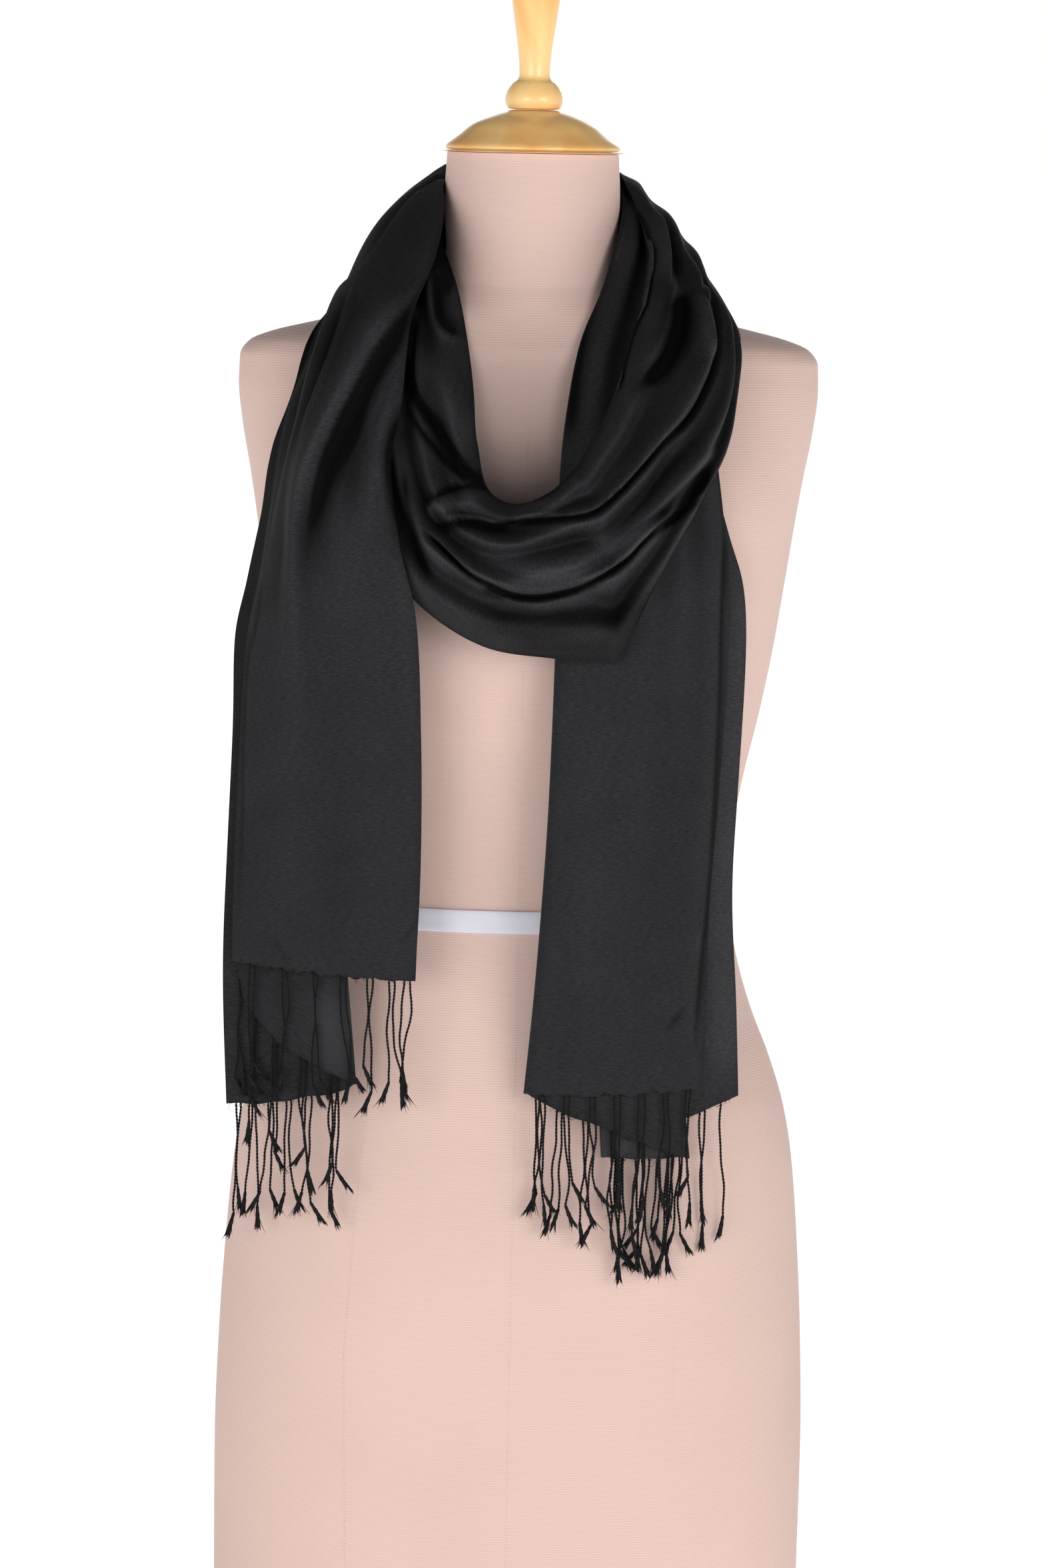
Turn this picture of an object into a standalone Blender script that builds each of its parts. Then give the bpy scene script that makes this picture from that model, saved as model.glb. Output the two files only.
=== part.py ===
"""A fringed shawl, wound once round the neck of a limbless dress form.

Metres, +Z up. The form's front faces -Y, and its flat underside stands on Z = 0.
The tables hold millimetres. Left and right are those of someone who faces the form.
"""
import math
from collections import namedtuple

import bmesh
import bpy
from mathutils import Vector
from mathutils.bvhtree import BVHTree

MM = 0.001

# Cloth and seams
WALL = 1.0              # thickness of the cloth's wall
SEAM = 0.4              # distance between two stretches where one carries on as the other
REST_GAP = 1.6          # from what lies beneath to the middle of the cloth's wall
LAYER_STEP = 2.6        # from one folded layer of a hanging end to the next, lower down
LAYER_STEP_TOP = 2.3    # and at the shoulder
FALL_GAP = 2.8          # from what lies beneath to a hanging end's hindmost layer

# Fringe
CORD = 1.3              # width of one twisted cord
STRIP_HEIGHT = 2.2      # the narrow strip that the cords are fused into
STRIP_GAP = 0.5         # from the cloth's hem to that strip
STRIP_INSET = 3.0       # from a folded edge of the cloth to the strip's end
CORD_LENGTH = 80.0
PAIR_HALF = 3.2         # half the distance between two cords of a pair, at the root
PAIR_TIP_HALF = 2.2     # and at their ends
SWAY = 0.16             # how far a cord swings aside, as a share of the distance between pairs
LENGTH_SPREAD = 0.08    # how unlike the cords are in length
# The rings down a cord: the share of its length, and its width in shares of CORD
CORD_RINGS = ((0.40, 1.0), (0.82, 1.0), (0.88, 1.4), (1.0, 1.2))

# Dress form
TAPE_LOW, TAPE_HIGH = 472.0, 487.0
TAPE_GAP, TAPE_WALL = 0.4, 0.8
NECK_TOP = 966.0
PART_GAP = 0.3
FORM_COLUMNS = 36       # steps round the form and the tape
TURNED_STEPS = 24       # and round the wooden pieces

BODY_COLOUR = (0.80, 0.62, 0.54)
CLOTH_COLOUR = (0.030, 0.031, 0.036)
FRINGE_COLOUR = (0.040, 0.040, 0.046)
WOOD_COLOUR = (0.62, 0.36, 0.14)
TAPE_COLOUR = (0.72, 0.72, 0.82)

# The dress form's level sections, from the underside up
Level = namedtuple("Level", "z half_width front back roundness")
FORM_LEVELS = [
    Level(0, 187, 101, 110, 2.25),
    Level(4, 191, 104, 113, 2.25),
    Level(60, 192, 106, 115, 2.25),
    Level(130, 192.5, 108, 119, 2.25),
    Level(200, 190.5, 112, 124, 2.25),
    Level(260, 187, 114, 126, 2.2),
    Level(320, 181.5, 112, 122, 2.2),
    Level(350, 176, 109, 118, 2.2),
    Level(385, 165, 104, 110, 2.15),
    Level(412, 154, 99, 102, 2.1),
    Level(440, 145, 93, 92, 2.1),
    Level(470, 138.5, 88, 82, 2.1),
    Level(505, 135, 86, 76, 2.1),
    Level(560, 143, 90, 78, 2.15),
    Level(610, 154, 98, 84, 2.2),
    Level(650, 161.5, 109, 90, 2.25),
    Level(690, 167.5, 119, 96, 2.3),
    Level(725, 172.5, 120, 98, 2.35),
    Level(760, 178, 111, 97, 2.4),
    Level(790, 183.5, 98, 93, 2.4),
    Level(817, 186.5, 87, 87, 2.4),
    Level(834, 186, 80, 81, 2.35),
    Level(843, 180, 77, 77, 2.3),
    Level(849, 166, 74, 74, 2.25),
    Level(855, 142, 71, 71, 2.15),
    Level(861, 116, 68, 68, 2.1),
    Level(867, 90, 65, 65, 2.05),
    Level(874, 69, 62, 62, 2.0),
    Level(884, 58, 58, 58, 2.0),
    Level(905, 54.8, 55, 55, 2.0),
    Level(935, 56.5, 56.5, 56.5, 2.0),
    Level(NECK_TOP, 55, 55, 55, 2.0),
]

# A stretch of cloth: each row is one section across it, from its neck-side edge to its outer edge,
# and crown is how far the middle of the section stands out from the line between the two
Section = namedtuple("Section", "in_x in_y in_z out_x out_y out_z crown")

# The end on the right, from the top of the shoulder down to its hem
FALL_RIGHT = [
    Section(63, 12, 930, 108, 10, 878, 0),
    Section(59, -22, 912, 110, -30, 858, 4),
    Section(46, -52, 882, 112, -66, 828, 8),
    Section(33, -80, 848, 117, -92, 792, 10),
    Section(26, -104, 812, 121, -104, 765, 12),
    Section(22, -120, 772, 125, -108, 735, 14),
    Section(21, -130, 715, 129, -112, 700, 16),
    Section(21, -132, 656, 129, -112, 650, 16),
    Section(19, -132, 564, 125, -112, 564, 15),
    Section(16, -131, 500, 121, -112, 500, 13),
    Section(12, -129, 437, 120.5, -111, 437, 12),
    Section(7, -126.5, 377, 119, -108.5, 377, 12),
    Section(3, -124.5, 330, 117, -106.5, 330, 12),
]

# The end on the left, over everything else
FALL_LEFT = [
    Section(-57, 18, 955, -119, 12, 872, 5),
    Section(-53, -33, 931, -125, -30, 857, 8),
    Section(-58, -72, 898, -137, -62, 834, 12),
    Section(-70, -104, 862, -150, -84, 806, 14),
    Section(-78, -126, 812, -156, -92, 778, 16),
    Section(-83, -138, 772, -161, -94, 742, 18),
    Section(-76, -142, 728, -167, -94, 700, 18),
    Section(-66, -142, 682, -174, -94, 660, 16),
    Section(-62.5, -138, 604, -177, -94, 604, 14),
    Section(-61.5, -134, 525, -179.5, -94, 525, 12),
    Section(-63.5, -129, 447, -180, -91, 447, 10),
    Section(-65, -125, 355, -176, -87, 355, 10),
]

# Behind the neck, first turn: from the right shoulder to the left
BACK_INNER = [
    Section(63, 12, 930, 108, 10, 878, 0),
    Section(56, 42, 934, 102, 56, 860, 6),
    Section(34, 62, 938, 62, 82, 838, 8),
    Section(0, 70, 940, 0, 90, 824, 10),
    Section(-34, 62, 938, -62, 82, 838, 8),
    Section(-56, 42, 934, -97, 58, 860, 6),
    Section(-63, 12, 930, -102, 10, 880, 0),
]

# The loop across the chest, from the left shoulder to the right
LOOP = [
    Section(-63, 12, 930, -102, 10, 880, 0),
    Section(-56, -26, 906, -108, -36, 852, 6),
    Section(-45, -56, 876, -112, -76, 808, 12),
    Section(-36, -90, 830, -104, -108, 756, 14),
    Section(-31, -118, 786, -88, -130, 714, 14),
    Section(-24, -136, 759, -62, -142, 683, 18),
    Section(-7, -144, 750, -24, -148, 661, 20),
    Section(13, -148, 757, 17, -150, 655, 22),
    Section(31, -148, 775, 58, -150, 655, 20),
    Section(49, -138, 808, 80, -146, 698, 16),
    Section(62, -114, 846, 102, -134, 740, 14),
    Section(71, -84, 880, 120, -106, 776, 12),
    Section(73, -48, 906, 126, -70, 816, 10),
    Section(67, -12, 932, 125, -28, 844, 6),
    Section(57, 18, 952, 121, 12, 868, 2),
]

# Behind the neck, second turn: from the right shoulder to the left
BACK_OUTER = [
    Section(57, 18, 952, 121, 12, 868, 2),
    Section(55, 50, 954, 114, 66, 846, 8),
    Section(36, 72, 956, 72, 94, 814, 12),
    Section(0, 80, 957, 0, 101, 796, 14),
    Section(-36, 72, 956, -70, 94, 812, 12),
    Section(-55, 50, 955, -114, 66, 846, 8),
    Section(-57, 18, 955, -119, 12, 872, 5),
]

# Fold lines along a stretch, as shares of its width from the neck-side edge, at five even places
Line = namedtuple("Line", "start early middle late end")
# The swell between two fold lines: its height at the same five places, and where its crest lies
# between the lines, at both ends of the stretch
Swell = namedtuple("Swell", "start early middle late end crest_start crest_end")

FALL_RIGHT_LINES = [
    Line(0.26, 0.26, 0.30, 0.30, 0.30),
    Line(0.50, 0.52, 0.58, 0.60, 0.60),
    Line(0.76, 0.76, 0.80, 0.84, 0.86),
]
FALL_RIGHT_SWELLS = [
    Swell(5, 5, 1, 0, 0, 0.5, 0.5),
    Swell(5, 6, 2, 0.5, 0, 0.5, 0.5),
    Swell(5, 6, 2, 0.5, 0, 0.5, 0.5),
    Swell(4, 5, 2, 1, 0, 0.5, 0.5),
]
FALL_LEFT_LINES = [
    Line(0.12, 0.17, 0.54, 0.56, 0.55),
    Line(0.42, 0.70, 0.77, 0.86, 0.88),
    Line(0.72, 0.84, 0.87, 0.95, 0.95),
]
FALL_LEFT_SWELLS = [
    Swell(2, 4, 6, 0.5, 0, 0.5, 0.5),
    Swell(4, 13, 9, 0.5, 0, 0.2, 0.4),
    Swell(4, 4, 3, 0, 0, 0.5, 0.5),
    Swell(3, 3, 2, 0, 0, 0.5, 0.5),
]
BACK_INNER_LINES = [
    Line(0.26, 0.28, 0.30, 0.30, 0.30),
    Line(0.50, 0.54, 0.56, 0.54, 0.52),
    Line(0.76, 0.78, 0.80, 0.78, 0.76),
]
BACK_INNER_SWELLS = [
    Swell(5, 6, 6, 6, 4, 0.5, 0.5),
    Swell(5, 7, 7, 7, 4, 0.5, 0.5),
    Swell(5, 7, 7, 7, 4, 0.5, 0.5),
    Swell(4, 6, 5, 6, 4, 0.5, 0.5),
]
LOOP_LINES = [
    Line(0.30, 0.28, 0.13, 0.26, 0.24),
    Line(0.52, 0.50, 0.33, 0.60, 0.52),
    Line(0.76, 0.74, 0.63, 0.88, 0.78),
]
LOOP_SWELLS = [
    Swell(4, 8, 7, 8, 7, 0.5, 0.5),
    Swell(4, 12, 15, 14, 8, 0.5, 0.5),
    Swell(4, 12, 18, 16, 8, 0.5, 0.5),
    Swell(4, 9, 15, 8, 6, 0.5, 0.5),
]
BACK_OUTER_LINES = [
    Line(0.24, 0.20, 0.17, 0.16, 0.12),
    Line(0.52, 0.46, 0.38, 0.40, 0.42),
    Line(0.78, 0.74, 0.64, 0.70, 0.72),
]
BACK_OUTER_SWELLS = [
    Swell(7, 9, 8, 6, 2, 0.5, 0.5),
    Swell(8, 12, 13, 10, 4, 0.5, 0.5),
    Swell(8, 13, 16, 11, 4, 0.5, 0.5),
    Swell(6, 8, 8, 6, 3, 0.5, 0.5),
]

# The layers that a hanging end is folded into, front to back. Each ends at a share of the front
# layer's width, given at five even places down it, and there the next one turns back; hem_z is
# how high its hem ends there, and cords is how many cords hang from it
Layer = namedtuple("Layer", "start early middle late end hem_z columns cords")
LEFT_LAYERS = [
    Layer(1.00, 1.00, 1.00, 1.00, 1.00, 452, 15, 14),
    Layer(0.90, 0.86, 0.72, 0.50, 0.31, 379, 4, 10),
    Layer(1.02, 1.12, 1.18, 1.08, 1.10, 357, 5, 12),
]
LEFT_HEM_START = 447
RIGHT_LAYERS = [
    Layer(0.00, 0.00, 0.00, 0.00, 0.00, 376, 13, 14),
    Layer(0.10, 0.20, 0.45, 0.75, 0.96, 333, 4, 12),
    Layer(0.02, 0.05, 0.15, 0.30, 0.46, 336, 3, 6),
    Layer(0.92, 0.92, 1.12, 1.17, 1.25, 371, 5, 11),
]
RIGHT_HEM_START = 379
FALL_SPLIT = 640.0      # below this height the rows of a hanging end follow its slanted hem
FALL_ROWS = 20
FALL_TRIM = 0.0008      # cut off a hanging end at the shoulder, as a share of its sections
FOLD_TURN = 0.005       # how far a fold's turn reaches past the layers, as a share of the width
FLOW_STEP = 0.01        # how far along a stretch its direction is measured
BEYOND_BEND = 0.4       # how much of a section's bend carries on past its outer edge
PROFILE_ROWS = 44       # the grid on which a hanging end's front is laid, and the share it reaches
PROFILE_COLUMNS = 26
PROFILE_REACH = 1.3

# How a stretch is laid on what is beneath it
RAY_REACH = 0.5         # metres outside from which what is beneath is looked for
RAY_DEPTH = 0.06        # metres past the cloth that it is looked for
SPREAD_STEPS = 14
SPREAD_SHARE = 0.96
CLEAR_EASE = 0.35       # the share of a stretch over which its clearance changes
STEEPEST = 0.5          # the least that a steep way out counts as, when a clearance is turned to it
FOLDS_PRESSED = 0.8     # how much of a push is taken out of the folds that the cloth has there


def clear_scene():
    for thing in list(bpy.data.objects):
        bpy.data.objects.remove(thing, do_unlink=True)


def material(name, colour, roughness):
    made = bpy.data.materials.new(name)
    made.use_nodes = True
    shader = made.node_tree.nodes["Principled BSDF"]
    shader.inputs["Base Color"].default_value = (*colour, 1.0)
    shader.inputs["Roughness"].default_value = roughness
    shader.inputs["Metallic"].default_value = 0.0
    return made


def add_object(name, mesh, look, collection):
    mesh.materials.append(look)
    made = bpy.data.objects.new(name, mesh)
    collection.objects.link(made)
    return made


def curve_value(values, place):
    """Smooth curve through evenly spaced values; place runs from 0 to 1."""
    last = len(values) - 1
    scaled = min(max(place, 0.0), 1.0) * last
    index = min(int(scaled), last - 1)
    part = scaled - index
    here, after = values[index], values[index + 1]
    before = values[index - 1] if index else 2 * here - after
    beyond = values[index + 2] if index + 2 <= last else 2 * after - here
    slope_in = (after - before) / 2
    slope_out = (beyond - here) / 2
    square, cube = part * part, part ** 3
    return ((2 * cube - 3 * square + 1) * here + (cube - 2 * square + part) * slope_in
            + (3 * square - 2 * cube) * after + (cube - square) * slope_out)


def eased(start, end, share):
    """A smooth change from one value to another; share runs from 0 to 1."""
    share = min(max(share, 0.0), 1.0)
    return start + (end - start) * share * share * (3 - 2 * share)


def form_level(z):
    """The dress form's section at a height, as half width, front, back and roundness."""
    z = min(max(z, FORM_LEVELS[0].z), FORM_LEVELS[-1].z)
    for below, above in zip(FORM_LEVELS, FORM_LEVELS[1:]):
        if z <= above.z:
            share = (z - below.z) / (above.z - below.z)
            return [low + (high - low) * share for low, high in zip(below[1:], above[1:])]


def form_point(angle, z, out=0.0):
    """A point on the dress form's side; angle 0 is the front, and out moves it off the skin."""
    half_width, front, back, roundness = form_level(z)
    power = 2.0 / roundness
    across, along = math.sin(angle), math.cos(angle)
    depth = front if along > 0 else back
    x = math.copysign(abs(across) ** power, across) * (half_width + out)
    y = -math.copysign(abs(along) ** power, along) * (depth + out)
    return Vector((x, y, z))


def tube_mesh(name, rows, columns, point):
    """A closed tube, its ends filled flat; point takes a row and a turn from 0 to 1."""
    mesh = bpy.data.meshes.new(name)
    build = bmesh.new()
    bmesh.ops.create_grid(build, x_segments=columns, y_segments=rows, size=0.5)
    for vertex in build.verts:
        vertex.co = point(round((vertex.co.y + 0.5) * rows), vertex.co.x + 0.5) * MM
    bmesh.ops.remove_doubles(build, verts=build.verts, dist=0.00001)
    edges = [edge for edge in build.edges if edge.is_boundary]
    bmesh.ops.holes_fill(build, edges=edges)
    bmesh.ops.recalc_face_normals(build, faces=build.faces)
    build.to_mesh(mesh)
    build.free()
    return mesh


def make_form(collection):
    def point(row, turn):
        return form_point(turn * 2 * math.pi, FORM_LEVELS[row].z)

    mesh = tube_mesh("form_body", len(FORM_LEVELS) - 1, FORM_COLUMNS, point)
    mesh.shade_smooth()
    mesh.set_sharp_from_angle(angle=math.radians(40))
    add_object("form_body", mesh, material("form_fabric", BODY_COLOUR, 0.85), collection)


def make_tape(collection):
    """The tape round the waist: a thin band made from the form's own points, moved out."""
    def point(row, turn):
        outer = row in (1, 2)
        height = TAPE_HIGH if row in (2, 3) else TAPE_LOW
        away = TAPE_GAP + (TAPE_WALL if outer else 0.0)
        skin = max(form_level(TAPE_LOW)[0], form_level(TAPE_HIGH)[0]) - form_level(height)[0]
        return form_point(turn * 2 * math.pi, height, away + skin * 0.5)

    mesh = bpy.data.meshes.new("waist_tape")
    build = bmesh.new()
    bmesh.ops.create_grid(build, x_segments=FORM_COLUMNS, y_segments=4, size=0.5)
    for vertex in build.verts:
        row = round((vertex.co.y + 0.5) * 4) % 4
        vertex.co = point(row, vertex.co.x + 0.5) * MM
    bmesh.ops.remove_doubles(build, verts=build.verts, dist=0.00001)
    bmesh.ops.recalc_face_normals(build, faces=build.faces)
    build.to_mesh(mesh)
    build.free()
    add_object("waist_tape", mesh, material("tape_satin", TAPE_COLOUR, 0.45), collection)


def turned(name, profile, look, collection):
    """A turned piece: a half profile of radius and height, top to bottom, spun about Z."""
    mesh = bpy.data.meshes.new(name)
    points = [(radius * MM, 0, height * MM) for radius, height in profile]
    edges = [(index, index + 1) for index in range(len(points) - 1)]
    mesh.from_pydata(points, edges, [])
    made = add_object(name, mesh, look, collection)
    screw = made.modifiers.new("Turn", "SCREW")
    screw.steps = TURNED_STEPS
    screw.render_steps = TURNED_STEPS
    screw.use_merge_vertices = True
    screw.merge_threshold = 0.00005
    screw.use_smooth_shade = True
    return made


def make_cap(collection):
    """The wooden cap on the neck, and the turned handle that stands on it."""
    wood = material("turned_wood", WOOD_COLOUR, 0.3)
    base = NECK_TOP + PART_GAP
    cap = [(0, 993.5), (15, 993.2), (26, 990.5), (38, 985), (47, 978), (53.5, 973),
           (56, 970.5), (56.3, 968.5), (55, base), (0, base)]
    foot = 993.5 + PART_GAP
    handle = [(0, 1102), (8, 1101), (14, 1097), (17.5, 1090), (17.8, 1082), (16.5, 1070),
              (14, 1052), (11.3, 1034), (10, 1020), (10.4, 1013.5), (14.2, 1010), (17.4, 1005),
              (18.6, 1000), (17.6, 996), (14.5, foot), (0, foot)]
    turned("neck_cap", cap, wood, collection)
    turned("cap_handle", handle, wood, collection)


def run_of_sections():
    """Every section from the first hem to the last, and where along it each stretch lies."""
    tables = {"fall_right": FALL_RIGHT[::-1], "back_inner": BACK_INNER, "loop": LOOP,
              "back_outer": BACK_OUTER, "fall_left": FALL_LEFT}
    run, spans = [], {}
    for name, table in tables.items():
        first = max(len(run) - 1, 0)
        run += table if not run else table[1:]
        spans[name] = (first, len(run) - 1)
    spans["fall_right"] = spans["fall_right"][::-1]
    return run, spans


RUN, SPANS = run_of_sections()
RUN_COLUMNS = [[section[index] for section in RUN] for index in range(7)]


def section_at(name, place):
    """Both edges of a stretch at a place along it, from 0 to 1, and its crown there."""
    start, end = SPANS[name]
    whole = (start + (end - start) * place) / (len(RUN) - 1)
    values = [curve_value(column, whole) for column in RUN_COLUMNS]
    return Vector(values[:3]), Vector(values[3:6]), values[6]


def place_at_height(name, z):
    """Where down a hanging end its sections are at a height."""
    low, high = 0.4, 1.0
    for _ in range(24):
        middle = (low + high) / 2
        if section_at(name, middle)[0].z > z:
            low = middle
        else:
            high = middle
    return (low + high) / 2


def fold_relief(folds, place, share):
    """How far the folds stand out at a place along a stretch and a share of its width."""
    lines, swells = folds
    marks = [0.0] + [curve_value(line, place) for line in lines] + [1.0]
    for index, swell in enumerate(swells):
        if marks[index] <= share <= marks[index + 1]:
            height = curve_value(swell[:5], place)
            crest = eased(swell.crest_start, swell.crest_end, place)
            inside = (share - marks[index]) / (marks[index + 1] - marks[index])
            rise = inside / crest if inside < crest else (1 - inside) / (1 - crest)
            return height * (0.5 - 0.5 * math.cos(math.pi * rise))
    return 0.0


def outward(point):
    """The way off the body at a point: away from the neck's axis, or up off the shoulders."""
    high = min(max((point.z - 850) / 50, 0.0), 1.0)
    near = min(max((115 - abs(point.x)) / 50, 0.0), 1.0)
    neck = high * near
    core = Vector((point.x * 0.72 * (1 - neck), 0.0, 0.0))
    core.z = min(point.z, 800.0) * (1 - neck) + point.z * neck
    away = point - core
    return away.normalized()


def surface_point(name, place, share):
    """A point of a stretch's own shape without its folds, and the way that the folds stand."""
    inner, outer, crown = section_at(name, place)
    point = inner + (outer - inner) * share
    bulge = crown * 4 * share * (1 - share) * (1.0 if 0 <= share <= 1 else BEYOND_BEND)
    ahead = section_at(name, place + FLOW_STEP)
    behind = section_at(name, place - FLOW_STEP)
    flow = (ahead[0] + ahead[1]) - (behind[0] + behind[1])
    normal = flow.cross(outer - inner).normalized()
    if normal.dot(outward(point)) < 0:
        normal.negate()
    return point + normal * bulge, normal


def push_off(point, way, beneath, clearance):
    """How far a point must move along its way out to clear every tree beneath it."""
    push = 0.0
    start = point * MM + way * RAY_REACH
    for tree in beneath:
        hit, slope = tree.ray_cast(start, -way, RAY_REACH + RAY_DEPTH)[:2]
        if hit is not None:
            turned_to_way = clearance / max(abs(slope.dot(way)), STEEPEST)
            push = max(push, (hit - point * MM).dot(way) / MM + turned_to_way)
    return push


def lay_over(grid, beneath, clearances, seams):
    """How far each point of a grid moves to be off the trees beneath it, and its way out. The
    pushes are spread smoothly, and the middles of the cells and of their sides are tested too.
    clearances has a value for each row, and a row in seams takes nothing from its neighbours,
    so that two stretches meet there."""
    ways = {key: outward(point) for key, point in grid.items()}
    needed = {key: push_off(grid[key], ways[key], beneath, clearances[key[0]]) for key in grid}
    for row, column in list(grid):
        for ahead, aside in ((0, 1), (1, 0), (1, 1), (1, -1)):
            other = (row + ahead, column + aside)
            if other in grid:
                middle = (grid[(row, column)] + grid[other]) / 2
                push = push_off(middle, outward(middle), beneath, clearances[row])
                for spot in ((row, column), other):
                    if spot[0] not in seams:
                        needed[spot] = max(needed[spot], push)
    pushes = dict(needed)
    for _ in range(SPREAD_STEPS):
        spread = {}
        for (row, column), own in needed.items():
            around = [pushes[spot] for spot in ((row - 1, column), (row + 1, column),
                                                (row, column - 1), (row, column + 1))
                      if spot in pushes]
            share = 0.0 if row in seams else SPREAD_SHARE
            spread[(row, column)] = max(own, share * sum(around) / len(around))
        pushes = spread
    return pushes, ways


def folded(point, way, push, normal, relief):
    """A point pushed off what is beneath, with its fold: a push takes some of the fold's height."""
    left = max(push - FOLDS_PRESSED * relief * normal.dot(way), 0.0)
    kept = max(left, push * (1 - FOLDS_PRESSED))
    return point + way * kept + normal * relief


def tree_of(made, side=0):
    """The surface of an object for others to lie on; side -1 or 1 keeps its left or right half."""
    depsgraph = bpy.context.evaluated_depsgraph_get()
    mesh = made.evaluated_get(depsgraph).to_mesh()
    corners = [vertex.co for vertex in mesh.vertices]
    faces = [tuple(face.vertices) for face in mesh.polygons
             if side == 0 or face.center.x * side > 0]
    return BVHTree.FromPolygons(corners, faces)


def cloth_object(name, rows, columns, points, look, collection):
    """A wall of cloth on a grid of points, in millimetres, keyed by row and column."""
    mesh = bpy.data.meshes.new(name)
    build = bmesh.new()
    bmesh.ops.create_grid(build, x_segments=columns, y_segments=rows, size=0.5)
    for vertex in build.verts:
        key = (round((vertex.co.y + 0.5) * rows), round((vertex.co.x + 0.5) * columns))
        vertex.co = points[key] * MM
    build.to_mesh(mesh)
    build.free()
    mesh.shade_smooth()
    made = add_object(name, mesh, look, collection)
    wall = made.modifiers.new("Wall", "SOLIDIFY")
    wall.thickness = WALL * MM
    wall.offset = 0.0
    bpy.context.view_layer.update()
    return made


def make_stretch(name, folds, size, clear, beneath, look, collection):
    """A stretch that isn't folded into layers, its ends cut back to leave a seam. clear is how
    far it stays off what is beneath at its start, in its middle and at its end."""
    rows, columns = size
    length = sum((section_at(name, step / 20)[0] - section_at(name, (step + 1) / 20)[0]).length
                 for step in range(20))
    trim = SEAM / 2 / length
    grid, normals, reliefs = {}, {}, {}
    clearances = []
    for row in range(rows + 1):
        place = trim + (1 - 2 * trim) * row / rows
        clearances.append(eased(clear[0], clear[1], place / CLEAR_EASE)
                          + eased(0, clear[2] - clear[1], (place - 1 + CLEAR_EASE) / CLEAR_EASE))
        for column in range(columns + 1):
            share = column / columns
            grid[(row, column)], normals[(row, column)] = surface_point(name, place, share)
            reliefs[(row, column)] = fold_relief(folds, place, share)
    pushes, ways = lay_over(grid, beneath, clearances, (0, rows))
    laid = {key: folded(grid[key], ways[key], pushes[key], normals[key], reliefs[key])
            for key in grid}
    return cloth_object(name, rows, columns, laid, look, collection)


def layer_columns(layers, place, start_share):
    """The columns across all layers of a hanging end at one place down it. Each is the share of
    the front layer's width, the layers in front of it, the layer and the share of that layer."""
    columns = []
    start = start_share
    for number, layer in enumerate(layers):
        end = curve_value(layer[:5], place)
        for step in range(layer.columns + 1):
            part = step / layer.columns
            columns.append((start + (end - start) * part, number, number, part))
        if number < len(layers) - 1:
            turn = math.copysign(FOLD_TURN, end - start)
            columns.append((end + turn, number + 0.5, number, 1.0))
        start = end
    return columns


def layer_step(place):
    return eased(LAYER_STEP_TOP, LAYER_STEP, place / 0.5)


def laid_profile(name, stack, beneath):
    """The front of a hanging end without its folds, laid on what is beneath with room for the
    layers behind it: its points, their ways out, their pushes, the ways its folds stand and the
    ways straight off it, each on one grid."""
    grid, normals = {}, {}
    rows, columns = PROFILE_ROWS, PROFILE_COLUMNS
    for row in range(rows + 1):
        for column in range(columns + 1):
            share = PROFILE_REACH * column / columns
            grid[(row, column)], normals[(row, column)] = surface_point(name, row / rows, share)
    clearances = [FALL_GAP + stack * layer_step(row / rows) for row in range(rows + 1)]
    pushes, ways = lay_over(grid, beneath, clearances, (0,))
    laid = {key: grid[key] + ways[key] * pushes[key] for key in grid}
    straight = {}
    for row, column in grid:
        down = laid[(min(row + 1, rows), column)] - laid[(max(row - 1, 0), column)]
        aside = laid[(row, min(column + 1, columns))] - laid[(row, max(column - 1, 0))]
        off = down.cross(aside).normalized()
        straight[(row, column)] = off if off.dot(ways[(row, column)]) > 0 else -off
    return grid, ways, pushes, normals, straight


def profile_point(profile, place, share, depth, relief):
    """A point at a place and share of a laid profile, at a depth behind it or with its fold."""
    row = min(max(place, 0.0), 1.0) * PROFILE_ROWS
    column = min(max(share / PROFILE_REACH, 0.0), 1.0) * PROFILE_COLUMNS
    above, left = min(int(row), PROFILE_ROWS - 1), min(int(column), PROFILE_COLUMNS - 1)
    down, aside = row - above, column - left

    def blend(values):
        upper = values[(above, left)] * (1 - aside) + values[(above, left + 1)] * aside
        lower = values[(above + 1, left)] * (1 - aside) + values[(above + 1, left + 1)] * aside
        return upper * (1 - down) + lower * down

    point, way, push, normal, straight = [blend(values) for values in profile]
    placed = folded(point, way.normalized(), push, normal.normalized(), relief)
    if share < 0:
        grid = profile[0]
        edge = grid[(above, 0)] - grid[(above, 1)]
        placed += edge * (-share * PROFILE_COLUMNS / PROFILE_REACH)
    return placed - straight.normalized() * depth


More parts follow.
